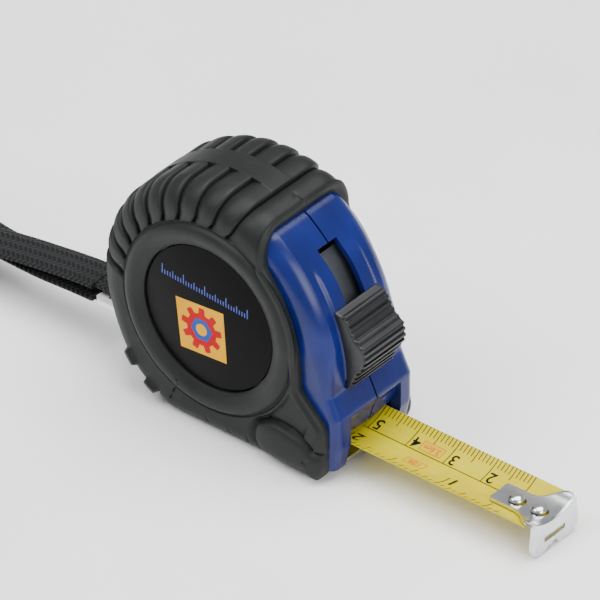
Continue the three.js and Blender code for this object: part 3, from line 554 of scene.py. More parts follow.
def pad_height(turn):
    """Height of the pads along the rim: a table read by the fraction of a pitch in front of
    the nearest line, level behind the last line."""
    fraction = np.mod((FIRST - turn) / PITCH, 1)
    fraction = np.where(np.abs(fraction - 1) < 1e-4, 0, fraction)
    height = np.interp(fraction, np.append(PAD_AT, 1), np.append(PAD_HIGH, -1.25))
    rise_at = PITCH * np.array([0, 0.015, 0.035, 0.07, 0.12])
    after = np.interp(turn - groove_turn[-1], rise_at, [-1.25, -0.55, -0.25, -0.1, 0])
    front = np.interp(FIRST - turn, PITCH * PAD_AT[:9], PAD_HIGH[:9])
    return np.where(turn > groove_turn[-1] - 1e-3, after, np.where(turn < FIRST, front, height))


# %% [markdown]
# Low on the side, beside the mouth, the rubber has a smooth foot with a valley round it, a
# sunk panel, and a ridge along the border with the shell. Low at the back are two lugs.
# Each is a small height added to the flat side.

# %% Side relief
def side_relief(x, z, edge_distance):
    """Height over the flat side at x, z from the axle. The foot is a dome inside a tilted
    superellipse; the panel is a step down, inside the ridge that follows the border."""
    tilt, foot_x, foot_z = math.radians(-9), 20.7, -23.6
    u = (x - foot_x) * math.cos(tilt) + (z - foot_z) * math.sin(tilt)
    v = -(x - foot_x) * math.sin(tilt) + (z - foot_z) * math.cos(tilt)
    q = (np.abs(u / 7.9) ** 2.3 + np.abs(v / 4.9) ** 2.3) ** (1 / 2.3)
    foot = 1.5 * np.sqrt(np.clip(1 - q**2.2, 0, 1))
    valley = -0.9 * np.exp(-(((q - 1.06) / 0.08) ** 2)) * ease(z, -27.5, -24)
    radius, turn = np.hypot(x, z), np.degrees(np.arctan2(z, x))
    inside = ease(edge_distance, 2.6, 3.4) * ease(radius, 23.4, 24.2)
    inside = inside * (1 - ease(turn, -12, -2)) * ease(turn, -62, -52)
    panel = -0.75 * inside * ease(q, 1.0, 1.12) * (x > 0)
    return foot + valley * (x > 0) + panel


# %% [markdown]
# A cover is three grids that share their edge points: the side, from the label's hole to
# where the edge starts to round; the rim, from there round to the line where the halves
# meet; and a rolled lip along the border with the bare shell. The rim comes first.

# %% Rim grid
ROUNDING = np.radians(np.linspace(0, 90, 11))
RIM_ROWS = [-7.7, -7.2, -6.2, -5.2, -4.2, -3.6, -3.3, -3.12, -2.98, -2.8, -2.4, -1.4]
LUGS = [(222.5, 4.2), (236.8, 3.6)]
LUG_LINE = 241.2
column_shift = ease(turns, brow_turn, FIRST) * (1 - ease(turns, 178, 205))
pads = pad_height(turns)


def index_quads(index):
    """Quads of a grid of point numbers."""
    corners = [index[:-1, :-1], index[1:, :-1], index[1:, 1:], index[:-1, 1:]]
    return np.stack(corners, axis=-1).reshape(-1, 4)


def lug_height():
    """Two lugs low at the back, each a clipped triangle over the turns, and a thin gap."""
    lugs = sum(np.clip(4 * (1 - np.abs(turns - at) / wide), 0, 1) for at, wide in LUGS)
    gap = np.exp(-(((turns - LUG_LINE) / 0.5) ** 2))
    return 1.1 * lugs - 0.6 * gap


def rounded_edge():
    """The line where the edge starts to round, and the edge itself: for each turn a quarter
    circle from the flat side out to the rim, as points and unit normals."""
    fix = 1 - ease(turns, brow_turn, FIRST - 0.5)
    edge = EDGE + (SOLE_EDGE - EDGE) * ease(turns, 196, 232)
    inset = (1 - np.sin(ROUNDING))[:, None]
    corner = np.degrees(np.arccos((BROW - LIP) / (RIM - EDGE * inset))) - brow_turn
    x, z, nx, nz = crown_at(turns + 2.2 * inset * column_shift + corner * fix, inset * edge)
    sines, cosines = np.sin(ROUNDING)[:, None], np.cos(ROUNDING)[:, None]
    points = np.stack([x, -SIDE_Y + edge * (1 - cosines), z], axis=-1)
    normals = np.stack([nx * sines, -cosines + 0 * nx, nz * sines], axis=-1)
    return points, normals


def rim_grid(part_y):
    """The rounded edge and the rim in y, up to part_y. The pads, the ribs of the sole, the
    lugs and the level middle band all move the points along their normals."""
    edge_points, edge_normals = rounded_edge()
    sines, cosines = np.sin(ROUNDING)[:, None], np.cos(ROUNDING)[:, None]
    rim_y = np.concatenate([RIM_ROWS, [part_y - 0.3, part_y]])
    x, z, nx, nz = crown_at(turns, 0 * turns)
    flat = np.zeros((len(rim_y), len(turns)))
    rim_points = np.stack([x + flat, rim_y[:, None] + flat, z + flat], axis=-1)
    rim_normals = np.stack([nx + flat, flat, nz + flat], axis=-1)

    across = np.interp(rim_y, [-9, -3.12, -2.98, 9], [1, 1, 0, 0])[:, None] + 0 * turns
    across = np.where(turns < FIRST + 0.01, 1.0, across)
    first = np.exp(-(((turns - FIRST) / 0.35) ** 2))
    band = 0.06 * ease(turns, FIRST - 0.4, FIRST + 0.6) - 0.9 * first
    rim_drop = pads * across + (1 - across) * band
    rim_drop[-1] -= 0.3 * (1 - ease(turns, brow_turn + 2.5, brow_turn + 5))
    from_ribs = edge_points[-1, :, 0][None, :] - RIB_X[:, None]
    ribs = np.exp(-((from_ribs / 0.22) ** 2)).sum(axis=0) * (turns > 250)
    lower = np.interp(rim_y, [-8.1, -5.5], [1, 0])[:, None]
    rim_points = rim_points + rim_normals * (rim_drop - 0.7 * ribs * lower)[..., None]
    lug_part = np.interp(rim_y, [-7.75, -7.15], [1, 0])[:, None]
    rim_points = rim_points + rim_normals * (lug_height() * lug_part)[..., None]

    edge_drop = pads * (0.85 + 0.15 * sines**2) - 0.7 * ribs * sines
    edge_drop = edge_drop + lug_height() * ease(sines, 0.12, 0.3)
    edge_points = edge_points + edge_normals * edge_drop[..., None]
    far = 9 + 0 * edge_points[..., 0]
    edge_points[..., 1] -= side_relief(edge_points[..., 0], edge_points[..., 2], far) * cosines**0.5
    return edge_points, edge_normals, rim_points, rim_normals


print("rim grid", len(ROUNDING) + len(RIM_ROWS) + 2, "rows of", len(turns), "points")

# %% [markdown]
# The side starts with the raised ring round the label, a turned profile, and then runs
# straight out to the edge line at the back and to a line just inside the border in front.

# %% Side grid
RING = np.array([
    [17.4, -1.3], [17.4, -0.2], [17.6, 0.02], [18.4, 0.42], [19.3, 0.86], [19.7, 1.0], [20.3, 1.08],
    [20.9, 1.06], [21.5, 0.92], [22.0, 0.62], [22.35, 0.22], [22.55, -0.2], [22.75, -0.28], [22.95, -0.12],
])
RING_END = 23.1
SIDE_T = np.concatenate([[0], np.linspace(0.03, 1, 30)])


def front_line():
    """The border line moved in by the lip's reach, from the toe up to the brow, with its
    normals and that reach, which grows from the brow down to the toe."""
    keep = border_line[:, 1] < math.sqrt((RIM - EDGE) ** 2 - (BROW - LIP) ** 2) - 0.05
    line, normal = border_line[keep], border_normal[keep]
    stop = np.argmax(np.degrees(np.arctan2(line[:, 1], line[:, 0])) < toe_end - 360)
    pick = np.unique(np.linspace(0, stop, 120).astype(int))
    line, normal = line[pick], normal[pick]
    lip = LIP + (2.8 - LIP) * ease(-line[:, 1], 14, 24)
    lip = lip + (SOLE_EDGE - lip[-1]) * np.linspace(0, 1, len(lip)) ** 12
    return (line - normal * lip[:, None])[::-1], normal[::-1], lip[::-1]


def side_grid(front):
    """The ring, then straight lines from it to the outer line: a point is start + t times
    (outer - start), at the flat side's depth plus the pads and the relief."""
    start_line = rounded_edge()[0][0][:, [0, 2]]
    outer = np.vstack([start_line, front[1:-1]])
    no_shift = np.zeros(len(front) - 2)
    ring_turn = np.unwrap(np.arctan2(outer[:, 1], outer[:, 0]))
    ring_turn = ring_turn + np.radians(2.3) * np.append(column_shift, no_shift)
    circle = np.stack([np.cos(ring_turn), np.sin(ring_turn)], axis=-1)
    ring_y = np.broadcast_to(-SIDE_Y - RING[:, 1, None], (len(RING), len(outer)))
    ring = [RING[:, 0, None] * circle[None, :, 0], ring_y, RING[:, 0, None] * circle[None, :, 1]]
    start = circle * RING_END
    flat = start[None] + (outer - start)[None] * SIDE_T[:, None, None]
    distance = np.linalg.norm(outer[None] - flat, axis=-1)
    distance[:, :len(turns)] = 9
    high = np.append(pads, no_shift)[None, :] * 0.85 + side_relief(flat[..., 0], flat[..., 1], distance)
    side = [flat[..., 0], -SIDE_Y - high, flat[..., 1]]
    return np.concatenate([np.stack(ring, axis=-1), np.stack(side, axis=-1)])


print("side grid", len(RING) + len(SIDE_T), "rows")

# %% [markdown]
# The lip rolls over a quarter turn from the ends of the other two grids, then drops as a
# short wall to the shell. One function joins the three grids into one list of faces.

# %% Lip and cover
def lip_grid(base, up, off, reach):
    """A quarter turn from the base points: off times reach times the sine, less up times the
    depth times one minus the cosine, and then a wall 2.4 mm further down."""
    deep = np.interp(reach, [LIP, EDGE - 1.2], [LIP, 1.5])
    phi = np.radians(np.linspace(0, 90, 7))[1:]
    out = (reach * np.sin(phi)[:, None])[..., None]
    down = (deep * (1 - np.cos(phi))[:, None])[..., None]
    rolled = base[None] + off[None] * out - up[None] * down
    return np.concatenate([rolled, (rolled[-1] - up * 2.4)[None]])


def cover(part_y):
    """Points and faces of the right cover, with y negative; part_y is where its rim ends."""
    edge_points, edge_normals, rim_points, rim_normals = rim_grid(part_y)
    front, front_normal, lip = front_line()
    columns = len(turns)
    grid_a = side_grid(front)
    count_a = grid_a.shape[0] * grid_a.shape[1]
    index_a = np.arange(count_a).reshape(grid_a.shape[:2])
    grid_b = np.concatenate([edge_points[1:], rim_points])
    own = count_a + np.arange(grid_b.shape[0] * columns).reshape(-1, columns)
    index_b = np.vstack([index_a[-1, :columns], own])
    known = np.vstack([grid_a.reshape(-1, 3), grid_b.reshape(-1, 3)])

    last = index_a[-1]
    path = [index_b[::-1, 0], last[:columns - 2:-1][:len(front) - 1], last[columns - 1:columns]]
    path = np.concatenate(path)
    path = path[np.append(True, np.diff(path) != 0)]
    base = known[path]
    n_back = len(index_b)
    n_front = len(base) - n_back
    straight_out = np.tile([0, -1.0, 0], (n_front + 1, 1))
    up = np.concatenate([rim_normals[::-1, 0], edge_normals[::-1, 0][:-1], straight_out])[:len(base)]
    off = np.zeros_like(base)
    off[:n_back] = unit(np.array([1.0, 0, 0]) - up[:n_back, :1] * up[:n_back])
    off[n_back:, [0, 2]] = front_normal[::-1][-n_front:]
    reach = np.concatenate([np.full(n_back, LIP), lip[::-1][-n_front:]])
    grid_c = lip_grid(base, up, off, reach)
    own = len(known) + np.arange(grid_c.shape[0] * len(path)).reshape(-1, len(path))
    index_c = np.vstack([path, own])

    wrapped_a = np.column_stack([index_a, index_a[:, 0]])
    faces = np.vstack([index_quads(index) for index in (wrapped_a, index_b, index_c)])
    points = np.vstack([known, grid_c.reshape(-1, 3)]) + [0, 0, AXLE]
    points[:, 2] = np.maximum(points[:, 2], 0.02)
    return points, faces


# %% [markdown]
# A closed solid has a positive volume when its faces point outwards, so one sum tells
# whether to turn them. Straight pieces are prisms, and holes are taken out with a Boolean.

# %% Solid helpers
def signed_volume(piece):
    """Volume from the triangles' corners; it is negative where the faces point inwards."""
    mesh = piece.data
    mesh.calc_loop_triangles()
    corners = np.empty(len(mesh.loop_triangles) * 3, dtype=np.int32)
    mesh.loop_triangles.foreach_get("vertices", corners)
    place = np.empty(len(mesh.vertices) * 3)
    mesh.vertices.foreach_get("co", place)
    a, b, c = place.reshape(-1, 3)[corners.reshape(-1, 3)].transpose(1, 0, 2)
    return float(np.einsum("ij,ij->i", a, np.cross(b, c)).sum() / 6)


def face_outwards(piece):
    """Turns all the faces round when they point inwards."""
    if signed_volume(piece) < 0:
        piece.data.flip_normals()


def report(piece):
    """Prints a closed piece's volume and number of faces."""
    volume = round(signed_volume(piece) * 1e9, 1)
    print(piece.name, volume, "mm3,", len(piece.data.polygons), "faces")


def prism(name, outline, axis, low, high):
    """A flat outline carried straight along one axis, with both ends closed."""
    flat = np.asarray(outline, float)
    count = len(flat)
    ends = [np.insert(flat, axis, value, axis=1) for value in (low, high)]
    k = np.arange(count)
    sides = np.stack([k, (k + 1) % count, count + (k + 1) % count, count + k], axis=-1)
    faces = [list(f) for f in sides] + [list(range(count))[::-1], list(range(count, 2 * count))]
    piece = make_mesh(name, np.vstack(ends), faces)
    face_outwards(piece)
    return piece


def carve(piece, cutters):
    """Takes the cutters away from the piece and removes them."""
    for cutter in cutters:
        modifier(piece, "BOOLEAN", operation="DIFFERENCE", object=cutter, solver="EXACT")
    apply_modifiers(piece)
    for cutter in cutters:
        bpy.data.objects.remove(cutter)
    report(piece)


def skin(name, points, faces, thick, flip=False):
    """A closed wall from an open outer surface: the inner side is thick further in."""
    piece = make_mesh(name, points, faces[:, ::-1] if flip else faces)
    modifier(piece, "SOLIDIFY", thickness=thick * MM, offset=-1.0, use_even_offset=False)
    apply_modifiers(piece)
    report(piece)
    return piece


# %% [markdown]
# The left cover is the right one mirrored, with its faces turned, and it has four round
# holes over the case screws. The halves meet a hair apart, on the shell's own seam.

# %% Build both covers
SCREW_HOLE = 2.4
RUBBER_WALL = 0.6


def round_hole(points, faces, x, z, radius):
    """Opens a round hole through a grid, along Y: faces inside the circle are dropped, and
    the points left at its edge are drawn radially onto the circle."""
    away = points[:, [0, 2]] - [x, z]
    distance = np.linalg.norm(away, axis=1)
    inside = distance[faces].mean(axis=1) < radius
    edge = np.intersect1d(faces[inside], faces[~inside])
    points = points.copy()
    points[edge[:, None], [0, 2]] = [x, z] + away[edge] / distance[edge, None] * radius
    return points, faces[~inside]


SEAM = (PART_RIGHT + PART_LEFT) / 2
right_points, right_faces = cover(SEAM - 0.01)
left_points, left_faces = cover(-SEAM - 0.01)
left_points = left_points * [1, -1, 1]
for screw in ("case_screw_top", "case_screw_rear", "case_screw_rear_low", "case_screw_front"):
    x, _, z = sum(spans(screw)) / 2
    left_points, left_faces = round_hole(left_points, left_faces, x, z, SCREW_HOLE)
left_points, left_faces = drop_loose(left_points, left_faces)
right_cover = skin("right_rubber_cover", right_points, right_faces, RUBBER_WALL)
left_cover = skin("left_rubber_cover", left_points, left_faces, RUBBER_WALL, flip=True)
for half in (right_cover, left_cover):
    smooth(half, 38)

# %% [markdown]
# ## The shell
# Between the rubber covers the shell's glossy front shows: a curved front with soft
# shoulders, a raised middle with the lock's slot, and a nose over the blade's mouth. It is
# the same kind of grid as the rubber, thickened to a wall. Its line in side view closes on
# itself: the nose, the curved front, the round back and the floor.

# %% Shell outline
SHELL_R = 28.8
floor_z = 1.6 - AXLE
NOSE_TOP = 15.9 - AXLE
rear_end = 180 + math.degrees(math.asin(-floor_z / SHELL_R))
shell_line = soften(dense(np.vstack([
    [[NOSE - 1.7, floor_z]], [[NOSE, 9 - AXLE]], [[NOSE, NOSE_TOP]],
    bow(FRONT_X, FRONT_Z, FRONT_R, -2, 54), bow(0, 0, SHELL_R, 64, rear_end, 200),
    [[NOSE - 1.7, floor_z]], [[NOSE, 9 - AXLE]],
])), 0.5)
shell_turn = np.degrees(np.unwrap(np.arctan2(shell_line[:, 1], shell_line[:, 0])))
shell_normal = outward(shell_line)
padded = np.pad(shell_normal, [(50, 50), (0, 0)], mode="edge")
even = np.ones(101) / 101
inset_normal = np.column_stack([np.convolve(padded[:, k], even, "valid") for k in range(2)])


def turn_of(x, z):
    """Angle about the axle, in degrees."""
    return math.degrees(math.atan2(z, x))


SLOT_LOW, SLOT_TOP, SLOT_HALF = 12.0, 43.9, 3.1
CHANNEL = 8.08
slot_ends = [bow(FRONT_X, FRONT_Z, FRONT_R, at, at, 1)[0] for at in (SLOT_LOW, SLOT_TOP)]
slot_turns = [turn_of(*end) for end in slot_ends]
mouth_turns = [turn_of(NOSE - 1.4, 2.8 - AXLE), turn_of(NOSE - 0.2, 8.0 - AXLE)]
crest_turns = [turn_of(NOSE, NOSE_TOP), turn_of(NOSE, NOSE_TOP - 0.6)]
shell_start = shell_turn[0] + 1.2
exact = np.array(slot_turns + mouth_turns + crest_turns)
front_turns = np.arange(shell_start, 70, 0.55)
front_turns = front_turns[np.abs(front_turns[:, None] - exact).min(axis=1) > 0.2]
back_turns = np.arange(72, shell_start + 358, 4)
shell_turns = np.concatenate([np.sort(np.append(front_turns, exact)), back_turns])
print("shell columns", len(shell_turns), "slot from", slot_turns[0], "to", slot_turns[1])

# %% [markdown]
# Where the lock's slot and the blade's mouth are, the grid simply has no faces; columns and
# rows lie exactly on their edges. Between the cheeks of the nose the surface falls back
# under the crest, and the lip over the blade follows the blade's hollow.

# %% Shell builder
SHELL_ROWS = np.array([
    -9.0, -8.45, -8.25, -8.08, -7.95, -7.6, -7.2, -6.9, -6.5, -6.1, -5.2, -4.2, -3.4, -3.1, -2, -1, -0.3,
])


def shell_edge(x, z):
    """Three rings on the flat side, as shares of the way out, and the rounded edge. The edge
    is a quarter circle whose radius is largest over the curved front."""
    ix, iz = (np.interp(shell_turns, shell_turn, inset_normal[:, k]) for k in range(2))
    back_part = ease(shell_turns, 66, 76) * (1 - ease(shell_turns, 260, 300))
    edge = 2.4 + 2.2 * ease(shell_turns, -12, 10) + 1.2 * back_part
    edge = np.maximum(edge - 3.0 * ease(shell_turns, 290, 318), 2.4)
    a = np.radians(np.linspace(0, 90, 12))[:, None]
    inset = edge * (1 - np.sin(a))
    y = np.minimum(-SHELL_SIDE + edge * (1 - np.cos(a)), -9.1 + 0 * inset)
    bend = np.stack([x - inset * ix, y, z - inset * iz], axis=-1)
    side = [bend[0] * [share, 1, share] for share in (0.42, 0.6, 0.8)]
    return np.concatenate([np.array(side), bend])


def shell_rim(x, z, rim_y):
    """The rim, moved along its normals: the middle of the front stands out by 0.6 mm with a
    soft step at its sides, the nose falls back over the blade, and its lip rises as the
    square of y."""
    normal = [np.interp(shell_turns, shell_turn, shell_normal[:, k]) for k in range(2)]
    nx, nz = np.array(normal) / np.hypot(*normal)
    wide = rim_y[:, None]
    up = z[None, :] + AXLE
    raised = 0.6 * (1 - ease(-wide, 6.4, 7.5))
    raised = raised * (ease(shell_turns, -12, -9) * (1 - ease(shell_turns, 32, 44)))[None, :]
    between = (wide > -8.1) * 1.0
    fall = np.interp(up, [1.6, 7.9, 8.1, 13.6, 15.2, 15.6], [0, 2.5, 2.5, 1.0, 0.12, 0.0])
    move = raised - fall * (x[None, :] > 25) * between
    move[-1] -= 0.12
    lift = 1.05 * (np.minimum(-wide, CHANNEL) / CHANNEL) ** 2 * between
    lift = lift * np.interp(up, [7.7, 7.9, 8.3, 12], [0, 1, 0.95, 0])
    return np.stack([x + move * nx, wide + 0 * move, z + move * nz + lift], axis=-1)


def shell_half(part_y):
    """The side, the rounded edge and the rim, as rings of points round the axle, without the
    faces of the slot and of the mouth."""
    x, z = (np.interp(shell_turns, shell_turn, shell_line[:, k]) for k in range(2))
    rim_y = np.append(SHELL_ROWS[SHELL_ROWS < part_y - 0.3], [part_y - 0.15, part_y])
    inner = shell_edge(x, z)
    grid = np.concatenate([inner, shell_rim(x, z, rim_y)])
    index = np.arange(grid.shape[0] * grid.shape[1]).reshape(grid.shape[:2])
    row_y = np.append(np.full(len(inner), -99), (rim_y[1:] + rim_y[:-1]) / 2)[:, None]
    middle = (shell_turns + np.append(shell_turns[1:], 999)) / 2
    at_slot = (middle > slot_turns[0]) & (middle < slot_turns[1])
    at_mouth = (middle > mouth_turns[0]) & (middle < mouth_turns[1])
    open_here = (row_y > -SLOT_HALF) & at_slot | (row_y > -CHANNEL) & at_mouth
    faces = index_quads(np.column_stack([index, index[:, 0]]))[~open_here.ravel()]
    return drop_loose(grid.reshape(-1, 3) + [0, 0, AXLE], faces)


SHELL_WALL = 1.3
shell_points, shell_faces = shell_half(PART_RIGHT)
left_points, left_faces = shell_half(-PART_LEFT)
right_shell = skin("right_blue_shell", shell_points, shell_faces, SHELL_WALL)
left_shell = skin("left_blue_shell", left_points * [1, -1, 1], left_faces, SHELL_WALL, flip=True)
for half in (right_shell, left_shell):
    smooth(half, 34)

# %% [markdown]
# ## The lock button
# A ribbed hump of black plastic that slides over the curved front. Its profile is a curve
# with eleven thin ribs, carried across the width; the sides are smooth and slightly rounded.

# %% Button
BUTTON_HALF, BUTTON_END, BUTTON_TURN = 7.0, 9.1, 11.3
RIB_APART = 1.3
HUMP = np.array([
    [-9.1, 0.35], [-8.0, 0.9], [-6.2, 1.7], [-4.5, 2.6], [-3.06, 4.1], [-1.8, 4.85], [0, 5.05], [1.2, 5.05],
    [2.0, 4.4], [3.15, 3.3], [5.1, 2.65], [7.0, 2.4], [7.9, 2.0], [9.1, 0.35],
])


def button_mesh():
    """Rows run along the front's curve and columns across it. The height is the hump plus
    ribs, which fade at both sides; the last columns curl in to round the side edges."""
    along = np.linspace(-BUTTON_END, BUTTON_END, 260)
    weights = np.hanning(15)[1:-1] / np.hanning(15).sum()
    hump = np.interp(along, HUMP[:, 0], HUMP[:, 1])
    hump = np.convolve(np.pad(hump, 6, mode="edge"), weights, "valid")
    ribs = 0.5 * np.clip(np.cos(along * 2 * math.pi / RIB_APART) * 1.6 + 0.35, 0, 1)
    ribs = ribs * ease(BUTTON_END - np.abs(along), 0.4, 1.0)
    side = np.array([-7.0, -7.0, -6.93, -6.8, -6.6, -6.3, 6.3, 6.6, 6.8, 6.93, 7.0, 7.0])
    drop = np.array([9, 0.45, 0.22, 0.08, 0.0, 0, 0, 0.0, 0.08, 0.22, 0.45, 9])
    rib_part = (np.abs(side) < 6.65).astype(float)
    height = np.maximum(hump[:, None] + ribs[:, None] * rib_part - drop, 0.05) + 0.3
    turn = np.radians(BUTTON_TURN) + along[:, None] / FRONT_R
    x = FRONT_X + (FRONT_R + height) * np.cos(turn)
    z = FRONT_Z + AXLE + (FRONT_R + height) * np.sin(turn)
    grid = np.stack([x, np.broadcast_to(side, x.shape), z], axis=-1)
    rows, cols = x.shape
    under_x = FRONT_X + (FRONT_R + 0.3) * np.cos(turn[:, 0])
    under_z = FRONT_Z + AXLE + (FRONT_R + 0.3) * np.sin(turn[:, 0])
    low = [np.stack([under_x, y + 0 * under_x, under_z], axis=-1) for y in (-BUTTON_HALF, BUTTON_HALF)]
    top = np.arange(rows * cols).reshape(rows, cols)
    left_line = rows * cols + np.arange(rows)
    right_line = left_line + rows
    faces = [list(f) for f in quads(rows, cols)]
    bands = [
        [left_line[:-1], left_line[1:], right_line[1:], right_line[:-1]],
        [top[:-1, 0], left_line[:-1], left_line[1:], top[1:, 0]],
        [top[:-1, -1], top[1:, -1], right_line[1:], right_line[:-1]],
    ]
    for band in bands:
        faces += np.stack(band, axis=-1).tolist()
    faces += [[*top[0], right_line[0], left_line[0]], [*top[-1][::-1], left_line[-1], right_line[-1]]]
    piece = make_mesh("lock_button_cap", np.vstack([grid.reshape(-1, 3), *low]), faces)
    face_outwards(piece)
    report(piece)
    return piece


button = button_mesh()
smooth(button, 40)

# %% [markdown]
# Under the button a stem passes through the slot to a springy strip on the same centre of
# curvature. The strip fills the slot behind the button, and its lower end is a fork that
# straddles the blade's path. Each is a curved band: one arc out and another one back.

# %% Stem and strip
def curved_band(name, inner, outer, low, high, half, count):
    """A band between two radii and two angles about the front's centre, as wide as 2 half."""
    there = bow(FRONT_X, FRONT_Z + AXLE, inner, low, high, count)
    back_again = bow(FRONT_X, FRONT_Z + AXLE, outer, high, low, count)
    return prism(name, np.vstack([there, back_again]), 1, -half, half)


stem = curved_band("lock_button_stem", 35.9, FRONT_R + 0.6, 13, 23, 2.8, 8)
strip = curved_band("lock_strip_band", 34.5, 35.6, -24.4, 42, 5.4, 60)
carve(strip, [curved_band("fork", 33, 37, -29, -20.4, 3.7, 6)])
smooth(strip, 40)

# %% [markdown]
# ## The blade
# The blade is spring steel 16 mm wide and rolled to a shallow hollow, so that it stays
# straight when it is pulled out. It is lacquered yellow and printed in black. The marks are
# flat shapes laid on its hollow: a point across the blade lies on the arc of the hollow.

# %% Blade strip
BOW_R, BOW_Z = 14.2, 20.2
BLADE_HALF, BLADE_THICK = 8, 0.2
blade_low, blade_high = spans("tape_blade")
hook_high = spans("end_hook")[1]
HOOK_FACE = hook_high[0] - 0.9


def on_bow(x, across, lift=0.0):
    """Points over the blade's hollow: across is measured along the curve from the middle."""
    angle = np.asarray(across, float) / BOW_R
    radius = BOW_R - lift
    return np.stack([x + 0 * angle, radius * np.sin(angle), BOW_Z - radius * np.cos(angle)], axis=-1)


def bow_sheet(name, x, across, lift, thick):
    """A sheet on the hollow between lift and lift + thick: x and across are grids."""
    top = on_bow(x, across, lift + thick)
    bottom = on_bow(x, across, lift)
    rows, cols = top.shape[:2]
    count = rows * cols
    index = np.arange(count).reshape(rows, cols)
    faces = list(index_quads(index)) + list(index_quads(index)[:, ::-1] + count)
    rim = np.concatenate([index[0, :-1], index[:-1, -1], index[-1, :0:-1], index[:0:-1, 0]])
    after = np.roll(rim, -1)
    faces += list(np.stack([rim, after, after + count, rim + count], axis=-1))
    piece = make_mesh(name, np.concatenate([top.reshape(-1, 3), bottom.reshape(-1, 3)]), faces)
    face_outwards(piece)
    report(piece)
    return piece


BLADE_FROM = blade_low[0] - 3.0
blade_x = np.linspace(BLADE_FROM, blade_high[0], 26)
blade_across = np.linspace(-BLADE_HALF, BLADE_HALF, 65)
grid_x, grid_a = np.meshgrid(blade_x, blade_across, indexing="ij")
blade = bow_sheet("blade_strip", grid_x, grid_a, -BLADE_THICK, BLADE_THICK)
smooth(blade, 40)

# %% [markdown]
# The print is a real, very thin layer: bars and figures lifted 0.05 mm off the blade.
# Centimetres run along one edge and sixteenths of an inch along the other, each measured
# from the hook's inner face, and longer lines stand at the rounder values.

# %% Blade print
INCH = 25.4
PRINT_LIFT = 0.05


def strips(spots):
    """Bars on the hollow: each row is x from, x to, across from, across to. Bars are split
    across the curve so that they follow it."""
    spots = np.asarray(spots, float)
    low_x, high_x, low_a, high_a = spots.T[:, :, None, None]
    x = low_x + (high_x - low_x) * np.array([0, 1])[None, :, None]
    a = low_a + (high_a - low_a) * np.linspace(0, 1, 5)[None, None, :]
    points = on_bow(x + 0 * a, a + 0 * x, PRINT_LIFT)
    count = points.shape[1] * points.shape[2]
    base = index_quads(np.arange(count).reshape(2, 5))
    faces = (base[None] + (np.arange(len(spots)) * count)[:, None, None]).reshape(-1, 4)
    return points.reshape(-1, 3), faces


PRINT_START = BLADE_FROM + 0.1
PRINT_END = HOOK_FACE - 9
PRINT_EDGE = BLADE_HALF - 0.05


def reach_of(count, lengths, shortest):
    """Length of a mark: the first length whose step divides its number."""
    return next((length for step, length in lengths if count % step == 0), shortest)


marks = []
for k in range(1, 52):
    x = HOOK_FACE - k
    reach = reach_of(k, [(10, 6.8), (5, 3.4)], 2.2)
    if PRINT_START < x < PRINT_END:
        marks.append([x - 0.09, x + 0.09, BLADE_HALF - reach, PRINT_EDGE])
for k in range(1, 33):
    x = HOOK_FACE - INCH * k / 16
    reach = reach_of(k, [(16, 6.0), (8, 4.2), (4, 3.2), (2, 2.3)], 1.7)
    if PRINT_START < x < PRINT_END:
        marks.append([x - 0.1, x + 0.1, -PRINT_EDGE, reach - BLADE_HALF])
marks.append([PRINT_START, HOOK_FACE - 13.5, 1.1, 1.3])
print("marks", len(marks))


def lettering(text, height, x, across):
    """Plain figures as a mesh, laid on the hollow with their feet towards the left edge, so
    they read from the other side."""
    curve = bpy.data.curves.new("figure", "FONT")
    curve.body = text
    curve.size = height * 1.38
    curve.align_x, curve.align_y = "CENTER", "CENTER"
    curve.offset = 0.035
    curve.resolution_u = 4
    holder = bpy.data.objects.new("figure", curve)
    bpy.context.scene.collection.objects.link(holder)
    graph = bpy.context.evaluated_depsgraph_get()
    mesh = bpy.data.meshes.new_from_object(holder.evaluated_get(graph))
    flat = np.empty(len(mesh.vertices) * 3)
    mesh.vertices.foreach_get("co", flat)
    flat = flat.reshape(-1, 3)
    points = on_bow(x - flat[:, 0], across - flat[:, 1], PRINT_LIFT + 0.005)
    faces = [list(p.vertices) for p in mesh.polygons]
    bpy.data.objects.remove(holder)
    bpy.data.meshes.remove(mesh)
    return points, faces


def gather(parts):
    """Joins lists of points and faces into one."""
    points, faces, base = [], [], 0
    for part_points, part_faces in parts:
        points.append(part_points)
        faces += [[int(v) + base for v in face] for face in part_faces]
        base += len(part_points)
    return np.vstack(points), faces


figures = [strips(marks)]
for n in (2, 3, 4, 5):
    figures.append(lettering(str(n), 3.0, HOOK_FACE - 10 * n + 1.5, 3.3))
for n in (1, 2):
    figures.append(lettering(str(n), 3.3, HOOK_FACE - INCH * n + 1.7, -3.0))
black_print = make_mesh("blade_print_black", *gather(figures))


def frame_box(x, across, wide, tall):
    """The four bars of a rectangle, 0.16 mm wide."""
    left, right, low, high = x - wide / 2, x + wide / 2, across - tall / 2, across + tall / 2
    line = 0.16
    return strips([
        [left, right, low, low + line], [left, right, high - line, high],
        [left, left + line, low, high], [right - line, right, low, high],
    ])


LENGTH_AT = HOOK_FACE - 34.3
orange_print = make_mesh("blade_print_orange", *gather([
    frame_box(LENGTH_AT, 3.3, 5.6, 2.6), lettering("3.6m", 1.6, LENGTH_AT, 3.3),
    frame_box(LENGTH_AT, -2.6, 5.2, 2.4), lettering("12ft", 1.5, LENGTH_AT, -2.6),
]))
print("print", len(black_print.data.polygons) + len(orange_print.data.polygons), "faces")
